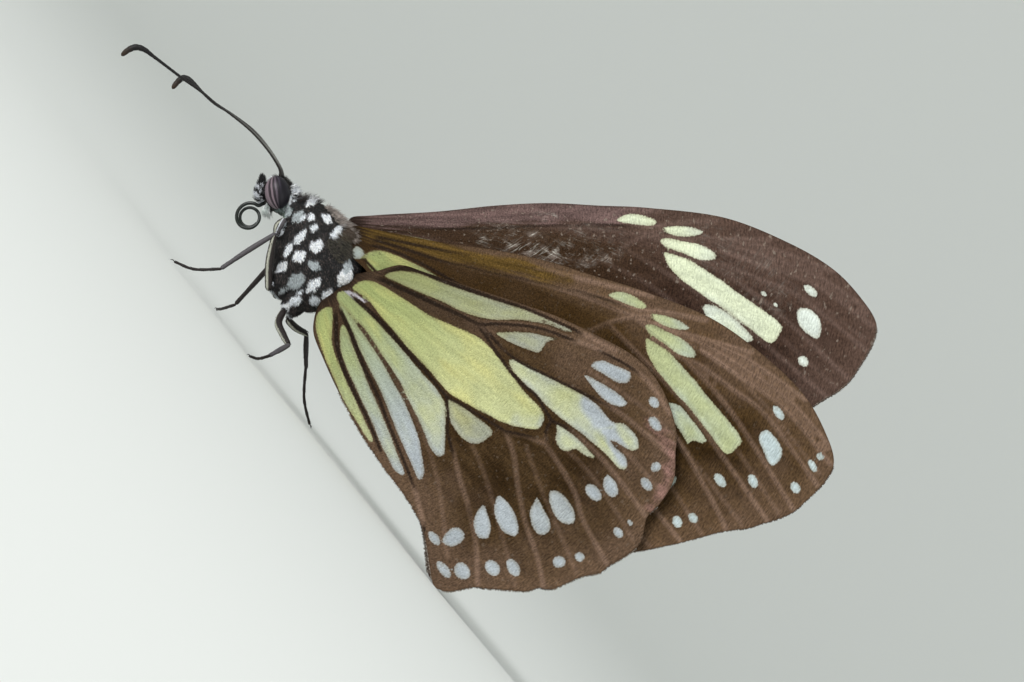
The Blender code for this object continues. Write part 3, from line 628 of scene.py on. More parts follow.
def add_wing(name, sheet, side, hinge, rise, plane, dip, under_marks, upper_marks, folds, own_values):
    corners, triangles, rim, crests = sheet
    count = len(corners)
    to_vein = np.min([distance_to(corners, crest) for crest in crests], axis=0)
    to_rim = distance_to(corners, rim, closed=True)
    to_fold = np.min([distance_to(corners, curve_through(fold, 0.5)) for fold in folds], axis=0)
    ridge = vein_height * np.clip(1.0 - to_vein / vein_half_width(corners[:, 0]), 0.0, 1.0)
    ridge *= np.clip(to_rim / 0.6, 0.0, 1.0)
    slack = 0.20 * (1.0 - np.exp(-(to_vein / 1.2) ** 2)) * np.clip(to_rim / 1.5, 0.0, 1.0)
    fold_rise = 0.13 * np.exp(-(to_fold / 0.35) ** 2) * np.clip(to_rim / 1.5, 0.0, 1.0)
    middle = plane - dip(corners) - slack + fold_rise
    outer = upright(corners, middle + membrane_half + ridge, side, hinge, rise)
    inner = upright(corners, middle - membrane_half - 0.6 * ridge, side, hinge, rise)
    faces, walls = wing_faces(triangles, count, side)
    wing = new_piece(name, np.vstack([outer, inner]), faces)
    mesh = wing.data
    spread = corners - hair_centre
    lie = np.stack([np.hypot(*spread.T), 20.0 * np.arctan2(spread[:, 1], spread[:, 0])], axis=1)
    under_depth, under_blue = marking_values(corners, under_marks)
    upper_depth, upper_blue = marking_values(corners, upper_marks)
    values = {
        "mark": (under_depth, upper_depth),
        "blue": (under_blue, upper_blue),
        "vein": (to_vein, to_vein),
        "fold": (to_fold, to_fold),
        "rim": (to_rim, to_rim),
        "out": (corners[:, 0], corners[:, 0]),
        **own_values(corners, under_depth, side),
    }
    keep_values(mesh, values)
    loops = corner_points(mesh)
    mesh.uv_layers.new(name="lie").data.foreach_set("uv", np.vstack([lie, lie])[loops].ravel())
    bake = wing_bake_map(corners, loops, 6 * len(triangles), walls)
    mesh.uv_layers.new(name="OFBake").data.foreach_set("uv", bake.ravel())
    which = np.zeros(len(faces), int)
    which[len(triangles):2 * len(triangles)] = 1
    mesh.polygons.foreach_set("material_index", which)
    mesh.shade_smooth()
    mesh.set_sharp_from_angle(angle=math.radians(50))
    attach(wing, "root")
    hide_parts(name)
    return wing


# The finish of a wing: overlapping scales in rows, brown ones between and along the veins and
# pale ones in the markings, with brown ones strewn along every edge. The veins are black near the
# base and beside the large markings; elsewhere the crests of the veins and folds are painted paler, a
# painted highlight of their ridges.

dark_vein = (0.020, 0.012, 0.008)
shadow_brown = (0.032, 0.0155, 0.0028)
stray_scales = (0.26, 0.21, 0.17)
rubbed_scales = (0.27, 0.22, 0.19)
bare_membrane = (0.64, 0.60, 0.53)
edge_scales = (0.22, 0.17, 0.08)
root_green = (0.30, 0.345, 0.125)
lilac = (0.52, 0.50, 0.58)
golden_yellow = (0.56, 0.52, 0.19)
dull_yellow = (0.20, 0.18, 0.085)


def scratches(finish, lie, degrees, stretch, wander, full):
    """Fine lines at one slant, where scales are lost."""
    slanted = finish.node("Mapping", {"vector_type": "TEXTURE"},
                          {"Vector": lie, "Rotation": (0.0, 0.0, math.radians(degrees)), "Scale": stretch})
    settings = {"Vector": slanted, "Scale": 1.0, "Detail": 3.0, "Distortion": wander}
    lines = finish.node("TexNoise", {}, settings)
    return finish.step(lines, 0.52, full)


def wing_finish(name, deep, light, crest_highlight_and_rim_tone, cream, bluish, extra_colour, line_width, root_width, speck):
    finish = Finish(name, Roughness=0.8, Specular_IOR_Level=0.06)
    lie = finish.node("UVMap", {"uv_map": "lie"})
    cloud = finish.texture(lie, 0.25, 0.3, 3.0)
    ray = finish.texture(lie, 0.3, 1.9, 3.0)
    rows = finish.texture(lie, 9.0, 3.0)
    grain = finish.texture(lie, 7.0, 8.5)
    scratch = scratches(finish, lie, -42.0, (1.4, 0.17, 1.0), 0.9, 0.68) * (1 - cloud)
    scratch = scratch + scratches(finish, lie, 12.0, (1.1, 0.20, 1.0), 1.2, 0.66) * cloud
    vein, fold, rim, out = (finish.attribute(value) for value in ("vein", "fold", "rim", "out"))
    mark, blue, dull = (finish.attribute(value) for value in ("mark", "blue", "dull"))
    extra, dark, worn = (finish.attribute(value) for value in ("extra", "dark", "worn"))

    # Brown scales, lighter near the rim, with painted highlights on the crests of the veins and folds
    outer = finish.step(rim + (cloud - 0.5) * 3.0, 6.0, 0.0)
    brown = finish.mix(ray * 0.36 + cloud * 0.38 + outer * 0.26, deep, light)
    brown = finish.mix(outer * 0.35, brown, crest_highlight_and_rim_tone)
    # Painted highlight: the crests of the veins and of the folds are drawn paler, where their ridges catch
    # the light
    crest = finish.step(vein + (grain - 0.5) * 0.12, 0.34, 0.06) * (1 - dark)
    crest = crest + finish.step(fold + (grain - 0.5) * 0.12, 0.30, 0.04) * 0.6
    brown = finish.mix(crest * (outer * 0.35 + 0.40), brown, crest_highlight_and_rim_tone)
    # Painted shade: on the forewing's middle band beside the hindwing the brown is darkened towards shadow
    # brown; on the hindwing the same darkens the brown at its dull markings
    brown = finish.mix(dull * 0.72, brown, shadow_brown)
    streaked = finish.shade((*extra_colour, 1.0), 0.72 + ray * 0.56)
    brown = finish.mix(finish.step(extra + (ray - 0.5) * 0.5, -0.25, 0.55), brown, streaked)
    nearer = finish.step(out, 13.0, 4.0) * root_width
    line = finish.step(vein + (grain - 0.5) * 0.05 - nearer, line_width + 0.12, line_width - 0.05)
    line = line * finish.step(out, 0.5, 1.3)
    brown = finish.mix(line * dark * 0.88, brown, dark_vein)
    brown = finish.shade(brown, 1 - nearer * 6.5)
    brown = finish.shade(brown, 0.52 + rows * 0.48 + grain * 0.48)
    rubbed = finish.texture(lie, 1.1, 1.6, 3.0, low=0.46, high=0.64)
    brown = finish.mix(worn * rubbed * 0.45, brown, rubbed_scales)
    brown = finish.mix(worn * scratch * (0.35 + rubbed * 0.65), brown, bare_membrane)
    dots = finish.texture(lie, 2.6, 3.0, low=0.62, high=0.72)
    brown = finish.mix(dots * speck, brown, stray_scales)
    base = finish.step(out + (ray - 0.5) * 1.2, 0.9, -0.6)
    brown = finish.mix(base * 0.85, brown, dark_vein)

    # Pale scales of the markings, with brown ones strewn along their torn edges
    torn = mark + (grain - 0.5) * 0.06 + (ray - 0.5) * 0.07
    shown = finish.step(torn, -0.05, 0.07)
    shown = shown * (1 - line * dark)
    whiter = blue + (cloud - 0.5) * 0.35 + finish.step(torn, 0.60, 0.05) * 0.15
    whiter = whiter + finish.step(out, 15.0, 34.0) * 0.30
    pale = finish.mix(finish.step(whiter, 0.05, 0.95), cream, bluish)
    greener = finish.step(out, 14.0, 0.5) * finish.step(blue, 0.98, 0.82) * 0.85
    pale = finish.mix(greener, pale, root_green)
    pale = finish.mix(finish.step(blue, 1.1, 1.3), pale, lilac)
    golden = finish.texture(lie, 0.15, 0.35, low=0.48, high=0.68)
    golden = golden * finish.step(whiter, 0.6, 0.1) * finish.step(out, 19.0, 15.0) * 0.45
    pale = finish.mix(golden, pale, golden_yellow)
    pale = finish.mix(dull * 0.40, pale, dull_yellow)
    pale = finish.shade(pale, 0.70 + ray * 0.20 + rows * 0.24 + grain * 0.20)
    dusted = finish.step(torn, 0.30, -0.05) * 0.40
    pale = finish.mix(dusted, pale, edge_scales)
    colour = finish.mix(shown, brown, pale)
    edge = finish.step(rim, 0.16, 0.02) * 0.25
    colour = finish.mix(edge, colour, deep)
    return finish.finish(colour, rows * 0.6 + grain * 0.6, 0.00005)


crest_highlight_and_rim_pink = (0.205, 0.130, 0.092)
brown_deep = (0.019, 0.009, 0.0018)
upper_deep = (0.028, 0.014, 0.009)
fore_under = wing_finish(
    "forewing_underside", brown_deep, light=(0.076, 0.042, 0.014), crest_highlight_and_rim_tone=crest_highlight_and_rim_pink,
    cream=(0.38, 0.41, 0.22), bluish=(0.44, 0.51, 0.52), extra_colour=(0.094, 0.055, 0.014),
    line_width=0.09, root_width=0.0, speck=0.1)
hind_under = wing_finish(
    "hindwing_underside", brown_deep, light=(0.080, 0.047, 0.021), crest_highlight_and_rim_tone=crest_highlight_and_rim_pink,
    cream=(0.45, 0.465, 0.235), bluish=(0.35, 0.38, 0.405), extra_colour=(0.225, 0.125, 0.105),
    line_width=0.09, root_width=0.05, speck=0.15)
fore_upper = wing_finish(
    "forewing_upper_side", upper_deep, light=(0.078, 0.045, 0.032), crest_highlight_and_rim_tone=(0.128, 0.082, 0.066),
    cream=(0.62, 0.66, 0.47), bluish=(0.62, 0.67, 0.61), extra_colour=(0.128, 0.081, 0.074),
    line_width=0.09, root_width=0.0, speck=0.6)
hind_upper = wing_finish(
    "hindwing_upper_side", upper_deep, light=(0.075, 0.046, 0.032), crest_highlight_and_rim_tone=(0.15, 0.100, 0.08),
    cream=(0.56, 0.58, 0.34), bluish=(0.48, 0.53, 0.51), extra_colour=(0.14, 0.085, 0.08),
    line_width=0.12, root_width=0.12, speck=0.3)


def near_markings(depth, corners, until):
    """1 beside a large marking and near the base, 0 in the outer part of a wing."""
    beside = np.clip((depth + 0.9) * 3.0, 0.0, 1.0) * np.clip((until - corners[:, 0]) * 0.5, 0.0, 1.0)
    return np.maximum(beside, np.clip((9.0 - corners[:, 0]) * 0.3, 0.0, 1.0))


worn_patches = (    # centre, length, width, degrees, how worn
    ((13.9, -1.2), 5.2, 1.3, 5, 1.3),
    ((15.9, -1.9), 1.9, 1.0, -40, 0.8),
    ((13.3, -2.7), 0.9, 0.6, -40, 0.9),
    ((9.5, -1.4), 1.1, 0.5, -40, 0.9),
    ((18.1, -1.4), 1.9, 1.0, -40, 0.7),
    ((19.8, -2.2), 1.8, 1.2, -40, 0.6),
    ((17.2, -4.0), 0.9, 0.5, -40, 0.5),
    ((12.0, -1.9), 7.0, 3.0, 0, 0.20),
    ((17.5, -2.6), 7.0, 3.4, -15, 0.18),
    ((14.0, -4.3), 2.2, 0.9, -10, 0.45),
    ((30.0, -3.0), 12.0, 5.0, 25, 0.12),
)
golden_stripe = ((0.0, -1.2), (5.5, -2.3), (9.3, -3.0), (11.8, -3.8), (13.8, -4.15), (16.4, -4.75))
front_fold = ((0.0, -0.4), (5.3, -1.35), (8.9, -2.3), (12.5, -3.2), (17.1, -4.33), (19.3, -4.56),
              (21.6, -4.6), (26.0, -5.2))


def fore_values(corners, under_depth, side):
    """A golden stripe along the front underneath; above, a mauve front and a black line behind it, a painted
    shadow of the crease along the front fold, which is also drawn underneath.

    The right one is worn above: pale scratches cross its cell.
    """
    u, v = corners.T
    stripe = curve_through(golden_stripe, 1.0)
    golden = 0.75 - distance_to(corners, stripe) - np.clip((u - 13.0) * 0.10, 0.0, 1.5)
    front = np.interp(u, *zip(*front_fold))
    mauve = np.clip((front - v) * 1.2, -1.0, 0.6) - np.clip((u - 19.0) * 0.2, 0.0, 1.6)
    # Painted shadow: near the front fold the vein is drawn black, standing in for the shadow of the crease
    crease_shadow_line = np.clip(1.0 - np.abs(v - front) * 2.0, 0.0, 1.0) * np.clip((22.0 - u) * 0.5, 0.0, 1.0)
    bars = near_markings(np.where(u > 9.0, -9.0, under_depth), corners, 33.0)
    root_patch = depth_inside(corners, fore_under_marks[-1][0]) > -0.1
    # Painted shade: the forewing's middle band, beside and behind the hindwing, is darkened
    shaded = np.clip((v + 3.6) * 1.4, 0.0, 1.0) * np.clip((2.5 - v) * 0.7, 0.0, 1.0)
    shaded *= np.clip((26.0 - u) * 0.12, 0.0, 1.0) * (under_depth < -0.05)
    dull = np.where(root_patch, 0.8, shaded)
    nothing = np.zeros(len(u))
    worn = nothing
    for centre, length, width, degrees, depth in worn_patches if side > 0 else ():
        turn = math.radians(degrees)
        along = (u - centre[0]) * math.cos(turn) + (v - centre[1]) * math.sin(turn)
        across = -(u - centre[0]) * math.sin(turn) + (v - centre[1]) * math.cos(turn)
        reach = np.hypot(along / (length / 2), across / (width / 2))
        worn = np.maximum(worn, depth * np.clip((1.1 - reach) * 2.5, 0.0, 1.0))
    return {"extra": (golden, mauve), "dark": (np.maximum(bars, crease_shadow_line * 0.8), crease_shadow_line),
            "worn": (nothing, worn), "dull": (dull, dull * 0.8)}


dull_hind_marks = ((0, 1.0), (1, 1.0), (6, 1.0), (14, 0.35), (15, 0.25))     # which, how dull
bluish_places = (   # a line on the picture, how far it reaches, how blue
    (((13.2, 18.5), (14.6, 18.4)), 0.8, 0.75),
    (((15.4, 18.2), (18.2, 17.7)), 0.5, 0.65),
    (((10.6, 13.2), (11.7, 14.4)), 0.6, 0.40),
)


def hind_values(corners, under_depth, side):
    """Pinkish brown along the front part of the rim; black veins round the cell."""
    flush = curve_through(hind((17.5, 20.9), (19.9, 20.9), (21.7, 19.0), (22.5, 17.0)), 1.0)
    pinkish = (0.45 - distance_to(corners, flush)) * 0.6
    dark = near_markings(under_depth, corners, 21.0)
    nothing = np.zeros(len(corners))
    dull = np.max([(depth_inside(corners, hind_marks[i][0]) > -0.1) * amount
                   for i, amount in dull_hind_marks], axis=0)
    _, blue = marking_values(corners, hind_marks)
    for line, reach, amount in bluish_places:
        away = distance_to(corners, hind(*line)) / reach
        blue = blue + amount * np.clip(1.5 - away, 0.0, 1.0) * (blue < 0.5)
    # The pale bands reach close to the veins near the base, but not to the first fold
    u, v = corners.T
    first_fold = distance_to(corners, curve_through(hind_folds[0], 0.5))
    wider = 0.12 * np.clip((15.0 - u) * 0.3, 0.0, 1.0) * (v > -0.9) * (blue < 1.2)
    mark = under_depth + wider * np.clip(first_fold * 2.0 - 0.7, 0.0, 1.0)
    return {"extra": (pinkish, pinkish), "dark": (dark, dark), "worn": (nothing, nothing),
            "dull": (dull, dull), "blue": (blue, blue), "mark": (mark, mark)}


def fore_dip(corners):
    return 0.0


def hind_dip(corners):
    """The hindwing turns in towards its hinge on the side of the thorax."""
    t = np.clip((0.25 - corners[:, 0]) / 1.3, 0.0, 1.0)
    return 0.95 * t * t * (3 - 2 * t)


fore_sheet = wing_sheet(fore_outline, fore_veins, fore_under_marks + fore_upper_marks[4:])
hind_sheet = wing_sheet(hind_outline, hind_veins, hind_marks)
fore_plane = 1.08       # how far each wing's middle is from the body's middle plane
hind_plane = 2.00
wings = {               # side, where its hinge is seen and the degrees that its length rises
    "forewing_left": (-1, (-8.19, 12.2), 24.3),
    "forewing_right": (1, (-9.19, 12.9), 38.7),
    "hindwing_left": (-1, (-5.80, 8.9), -0.75),
    "hindwing_right": (1, (-7.00, 9.68), -2.55),
}
for wing_name, (side, hinge, rise) in wings.items():
    if wing_name.startswith("forewing"):
        wing = add_wing(wing_name, fore_sheet, side, hinge, rise, fore_plane, fore_dip,
                        fore_under_marks, fore_upper_marks, fore_folds, fore_values)
        finishes = (fore_under, fore_upper)
    else:
        wing = add_wing(wing_name, hind_sheet, side, hinge, rise, hind_plane, hind_dip,
                        hind_marks, hind_marks, hind_folds, hind_values)
        finishes = (hind_under, hind_upper)
    for finish in finishes:
        wing.data.materials.append(finish)


# The body under its coat: head, neck, thorax with the roots of the legs, and abdomen.
# They are drawn as oval rings and fused into one skin, which is set in by the coat's depth.

coat_depth = 0.16
thorax_rings = (    # x, underside, back, half width
    (-14.25, 9.1, 11.1, 0.75), (-13.6, 8.3, 11.75, 1.20), (-12.8, 7.2, 12.1, 1.60),
    (-11.8, 6.1, 12.4, 1.90), (-10.8, 5.2, 12.6, 2.05), (-9.8, 4.7, 12.75, 2.10), (-8.8, 4.6, 12.7, 2.05),
    (-7.8, 4.7, 12.2, 1.90), (-6.8, 5.6, 11.3, 1.65), (-6.0, 6.8, 10.4, 1.30), (-5.5, 7.6, 9.8, 0.9),
)
head_rings = (
    (-16.9, 9.0, 10.3, 0.40), (-16.5, 8.5, 10.85, 0.72), (-15.9, 8.3, 11.1, 0.95),
    (-15.2, 8.3, 11.15, 0.98), (-14.75, 8.6, 11.0, 0.95), (-14.3, 8.9, 10.8, 0.85),
)
neck_rings = ((-15.2, 9.0, 10.8, 0.8), (-14.4, 8.9, 10.9, 0.9), (-13.6, 8.7, 11.0, 1.0))
leg_roots = (       # x, distance off the middle, z, and the radii of a swelling there
    (-9.8, 1.0, 5.6, 0.9, 0.8, 1.1),
    (-8.0, 0.8, 5.4, 0.75, 0.7, 1.1),
    (-13.0, 0.75, 8.1, 0.5, 0.5, 0.7),
)
wing_roots = (      # the same, with how far each leans down to the rear: a flap and a swelling
    (-9.5, 1.05, 12.0, 1.0, 0.45, 0.5, -0.4),
    (-7.0, 1.35, 9.8, 0.85, 0.60, 0.85, 0.0),
)
abdomen_start = (-6.4, 8.55)
abdomen_end = (11.6, 5.05)
abdomen_segments = 8
eye_centre = (-15.58, 0.95, 9.82)
eye_radii = (1.34, 0.98, 1.00)      # along its length, outwards and across
eye_slant = math.radians(30.0)      # the eye's length leans down to the rear


def abdomen_axis(t):
    """Height of the abdomen's middle from its front, t = 0, to its tip, t = 1."""
    return abdomen_start[1] + (abdomen_end[1] - abdomen_start[1]) * t - 0.5 * np.sin(np.pi * t)


def abdomen_rings():
    rings = []
    for i in range(6 * abdomen_segments + 1):
        t = i / (6 * abdomen_segments)
        x = abdomen_start[0] + (abdomen_end[0] - abdomen_start[0]) * t
        fullness = 0.86 + 0.5 * t - 0.15 * t * t if t < 0.35 else 1.03 - 0.9 * (t - 0.35) ** 2
        end = min(1.0, math.sqrt(max(0.0, (1.0 - t) / 0.10)) * 0.9 + 0.1)
        overlap = 1.0 - 0.07 * ((t * abdomen_segments) % 1.0) ** 3
        radius = 1.38 * fullness * end * overlap
        rings.append((x, abdomen_axis(t) - 1.12 * radius, abdomen_axis(t) + 1.12 * radius, radius))
    return rings


def ring_faces(rows, sides):
    """Faces between rings of points, one ring after another, with a cap at each end."""
    faces = []
    for first in range(0, (rows - 1) * sides, sides):
        for i in range(sides):
            j = (i + 1) % sides
            faces.append((first + i, first + j, first + sides + j, first + sides + i))
    faces.append(tuple(reversed(range(sides))))
    faces.append(tuple(range((rows - 1) * sides, rows * sides)))
    return faces


def add_oval_form(name, rings, inset, sides=36):
    """A closed form through upright ovals, each given as x, lowest z, highest z and half width."""
    turns = np.arange(sides) * 2 * np.pi / sides
    places = []
    for x, low, high, half_width in rings:
        height = max(0.15, (high - low) / 2 - inset)
        width = max(0.15, half_width - inset)
        places.append(np.stack([np.full(sides, x), width * np.cos(turns),
                                (low + high) / 2 + height * np.sin(turns)], axis=1))
    return new_piece(name, np.vstack(places), ring_faces(len(rings), sides))


def select_only(*pieces):
    """Select these pieces and no others, the first of them as the active one."""
    bpy.ops.object.select_all(action="DESELECT")
    for piece in pieces:
        piece.select_set(True)
    bpy.context.view_layer.objects.active = pieces[0]


def add_ball(name, centre, radii, slant=0.0, segments=24, rings=14):
    """An ellipsoid at a place of the drawing, its radii in millimetres, leaning down to the rear."""
    bpy.ops.object.select_all(action="DESELECT")
    bpy.ops.mesh.primitive_uv_sphere_add(
        segments=segments, ring_count=rings, radius=MM, location=place(*centre))
    ball = bpy.context.object
    ball.name = name
    ball.scale = radii
    ball.rotation_euler = (0.0, slant, 0.0)
    select_only(ball)
    bpy.ops.object.transform_apply(location=True, rotation=True, scale=True)
    return ball


def fuse(name, parts, voxel, smoothing):
    """Melt overlapping closed forms into one skin."""
    select_only(*parts)
    bpy.ops.object.join()
    skin = bpy.context.object
    skin.name = name
    skin.data.name = name
    melt = skin.modifiers.new("melt", "REMESH")
    melt.mode = "VOXEL"
    melt.voxel_size = voxel * MM
    bpy.ops.object.modifier_apply(modifier=melt.name)
    relax = skin.modifiers.new("relax", "SMOOTH")
    relax.iterations = smoothing
    relax.factor = 0.5
    bpy.ops.object.modifier_apply(modifier=relax.name)
    skin.data.shade_smooth()
    return skin


body_parts = [
    add_oval_form("thorax_form", thorax_rings, coat_depth),
    add_oval_form("head_form", head_rings, coat_depth * 0.8),
    add_oval_form("neck_form", neck_rings, coat_depth),
    add_oval_form("abdomen_form", abdomen_rings(), coat_depth * 0.5),
]
for x, away, z, *radii in leg_roots:
    for side in (-1, 1):
        body_parts.append(add_ball("leg_root", (x, side * away, z), radii))
for x, away, z, length, width, height, slant in wing_roots:
    for side in (-1, 1):
        body_parts.append(add_ball("wing_root", (x, side * away, z), (length, width, height), slant))
for side in (-1, 1):
    socket_centre = (eye_centre[0], side * (eye_centre[1] - 0.32), eye_centre[2])
    socket_radii = (eye_radii[0] + 0.10, 0.75, eye_radii[2] + 0.10)
    body_parts.append(add_ball("eye_socket", socket_centre, socket_radii, eye_slant))
body_skin = fuse("body_skin", body_parts, 0.11, 5)


# Markings of the body, seen from the side: white spots on black, the same on both sides.
# Each spot is x and z in the picture, its length, its width, its turn and how white it is.

body_spots = (
    (-14.50, 10.55, 0.60, 0.22, 100, 0.8), (-13.52, 11.42, 1.00, 0.56, 90, 1.2),
    (-12.60, 10.68, 0.72, 0.62, 90, 1.05), (-11.69, 11.56, 1.00, 0.68, 10, 1.1),
    (-11.82, 10.33, 0.76, 0.64, 90, 1.0), (-10.38, 11.45, 1.35, 0.68, 92, 0.95),
    (-13.28, 9.92, 1.20, 0.76, 98, 0.42), (-12.95, 10.15, 0.75, 0.30, 98, 0.9),
    (-11.90, 9.05, 1.50, 0.66, 100, 0.95), (-10.50, 9.62, 1.28, 0.95, 95, 1.1),
    (-11.72, 7.68, 1.25, 0.62, 105, 1.05), (-10.72, 8.05, 1.20, 0.95, 75, 1.1),
    (-10.98, 6.45, 1.25, 0.68, 105, 1.05), (-9.42, 8.50, 1.15, 0.75, 25, 0.45),
    (-9.40, 6.62, 1.70, 1.15, 90, 0.40), (-9.50, 5.30, 0.80, 0.45, 90, 0.5),
    (-9.95, 4.50, 0.60, 0.45, 0, 0.6), (-8.24, 7.52, 1.60, 0.78, 90, 1.0),
    (-8.18, 5.62, 1.25, 0.72, 75, 0.85), (-8.33, 4.55, 1.00, 0.70, 100, 1.1),
    (-6.88, 7.80, 1.20, 0.80, 100, 1.0), (-7.25, 6.75, 1.00, 0.80, 30, 0.8),
    (-6.98, 9.72, 1.75, 1.55, 120, 1.15), (-7.65, 10.45, 1.2, 0.8, 120, 0.45),
    (-8.54, 6.32, 0.70, 0.36, 90, 0.8), (-6.60, 5.70, 0.90, 0.50, 90, 0.3),
    (-9.64, 12.30, 0.55, 0.40, 30, 0.35), (-16.95, 10.15, 0.5, 0.30, 90, 0.9),
    (-16.75, 8.95, 0.70, 0.34, 100, 0.8), (-16.40, 8.45, 0.80, 0.50, 130, 0.75),
    (-14.05, 9.55, 0.80, 0.70, 90, 0.4), (-13.40, 8.40, 1.10, 0.26, 105, 0.9),
)
black_scales = np.array((0.006, 0.0055, 0.006))
brown_scales = np.array((0.120, 0.092, 0.084))
white_scales = np.array((0.91, 0.94, 1.0))
dull_spot = np.array((0.15, 0.20, 0.19))
green_white = np.array((0.46, 0.56, 0.48))
back_hair = np.array((0.56, 0.48, 0.43))
abdomen_back = np.array((0.060, 0.038, 0.028))
abdomen_belly = np.array((0.42, 0.33, 0.20))
flap_brown = np.array((0.075, 0.052, 0.036))
olive_hair = np.array((0.125, 0.110, 0.078))
chin_white = np.array((0.88, 0.96, 0.93))
flap_centre = (-9.4, 12.05)


def blend(below, above, mask):
    return below + (above - below) * np.clip(mask, 0.0, 1.0)[:, None]


def seen_from_side(points):
    """Places as x and z in the picture, the right side mirrored to the left."""
    return np.stack([points[:, 0] - math.tan(camera_turn) * np.abs(points[:, 1]), points[:, 2]], axis=1)


def round_eye(seen):
    """How far a place is from the eye's middle, 1 on its rim, and the angle there, 0 to the rear."""
    dx = seen[:, 0] - (eye_centre[0] - math.tan(camera_turn) * eye_centre[1])
    dz = seen[:, 1] - eye_centre[2]
    along = (dx * math.cos(eye_slant) - dz * math.sin(eye_slant)) / eye_radii[0]
    across = (dx * math.sin(eye_slant) + dz * math.cos(eye_slant)) / eye_radii[2]
    return np.hypot(along, across), np.degrees(np.arctan2(across, along))


def abdomen_colour(points, grain):
    """Brown above and cream below, with a white patch and a black line at each joint."""
    t = (points[:, 0] - abdomen_start[0]) / (abdomen_end[0] - abdomen_start[0])
    height = (points[:, 2] - abdomen_axis(np.clip(t, 0.0, 1.0))) / 1.4
    ring = (t * abdomen_segments) % 1.0
    belly = blend(np.tile(abdomen_back, (len(points), 1)) * (0.7 + 0.6 * grain)[:, None], abdomen_belly,
                  (-0.05 - height) * 3.0 + (grain - 0.5) * 0.6)
    belly = blend(belly, white_scales * 0.7, (1.0 - np.abs(height + 0.15) * 5.0) * (ring > 0.62) * 1.5)
    return blend(belly, black_scales, (0.10 - ring) * 8.0 * 0.6)


def body_colour(points, grain):
    """Colour of skin or coat at places of the drawing; grain is a random number for each."""
    seen = seen_from_side(points)
    clump = np.sin(4.3 * seen[:, 0] + 1.9 * seen[:, 1]) * np.sin(3.7 * seen[:, 1] - 2.6 * seen[:, 0] + 1.0)
    colour = np.tile(black_scales, (len(points), 1))
    colour = blend(colour, brown_scales, (grain - 0.62) * 2.2 + clump * 0.35)
    outwards = np.abs(points[:, 1])
    for x, z, length, width, turn, whiteness in body_spots:
        turn = math.radians(turn)
        dx = seen[:, 0] - x
        dz = seen[:, 1] - z
        along = dx * math.cos(turn) + dz * math.sin(turn)
        across = -dx * math.sin(turn) + dz * math.cos(turn)
        reach = np.abs(along / (length / 2)) ** 1.5 + np.abs(across / (width / 2)) ** 1.5
        reach = reach * (1.0 + 0.18 * np.sin(9.0 * dx + 6.0 * dz + 5.0 * x))
        mask = np.clip((1.0 - reach) * 6.0 + 0.3, 0.0, 1.0) * (outwards > 0.25)
        colour = blend(colour, dull_spot * (1 - whiteness) + white_scales * whiteness, mask)
    # A white line runs behind the eye and widens into a greenish cheek
    reach, angle = round_eye(seen)
    ring = (reach > 0.95) & (reach < 1.17) & (angle > 5) & (angle < 78)
    cheek = (reach > 1.05) & (reach < 1.6) & (angle > -12) & (angle < 14)
    colour = blend(colour, green_white, cheek * (0.3 + 0.6 * grain))
    colour = blend(colour, white_scales, ring * 0.95)
    # The flap over the forewing's root is brown
    behind = points[:, 0] - flap_centre[0]
    reach = np.hypot(behind, (points[:, 2] - flap_centre[1] - 0.4 * behind) / 0.55)
    flap = np.clip(1.3 - reach, 0.0, 1.0) * 3.0 * (outwards > 0.7) * (seen[:, 0] > -10.15)
    colour = blend(colour, flap_brown, flap)
    rear = np.clip((points[:, 0] + 5.9) * 2.0, 0.0, 1.0)
    return blend(colour, abdomen_colour(points, grain), rear)


def paint(mesh, name, colours):
    """Keep a colour for each point of a mesh, to be read by its finish."""
    layer = mesh.color_attributes.new(name, "FLOAT_COLOR", "POINT")
    layer.data.foreach_set("color", np.hstack([colours, np.ones((len(colours), 1))]).ravel())


def mesh_points(mesh):
    """A mesh's points in the drawing's millimetres."""
    flat = np.zeros(len(mesh.vertices) * 3)
    mesh.vertices.foreach_get("co", flat)
    return flat.reshape(-1, 3) / MM + np.array(DRAWING_CENTRE)


def body_unwrap(points):
    """The body's skin unrolled: along its length and round its middle line."""
    t = np.clip((points[:, 0] - abdomen_start[0]) / (abdomen_end[0] - abdomen_start[0]), 0.0, 1.0)
    middle = np.where(points[:, 0] < -6.4, 9.2, abdomen_axis(t))
    around = np.arctan2(points[:, 1], middle - points[:, 2]) / (2 * np.pi) + 0.5
    return np.stack([(points[:, 0] + 18.0) / 31.0 * 0.96 + 0.02, around * 0.96 + 0.02], axis=1)


def coat_finish(name, roughness):
    """Painted scales or hairs with a little unevenness along each."""
    finish = Finish(name, Specular_IOR_Level=0.4)
    colour = finish.node("Attribute", {"attribute_name": "coat"})
    here = finish.node("TexCoord", {}, output=3)
    uneven = finish.noise(here, 4500.0, 2.0)
    colour = finish.shade(colour, 0.8 + uneven * 0.5)
    return finish.finish(colour, uneven, 0.00001, roughness=roughness)


random = np.random.default_rng(7)
skin_points = mesh_points(body_skin.data)
paint(body_skin.data, "coat", body_colour(skin_points, np.full(len(skin_points), 0.3)) * 0.6)
body_skin.data.materials.append(coat_finish("body_skin_scales", 0.7))
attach(body_skin, "root")
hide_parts("head", "thorax", "abdomen")


# The coat: flat scales lying backwards on the sides, longer hairs on the back of the thorax,
# on the head and under the thorax. Every one is a small closed blade rooted in the skin.

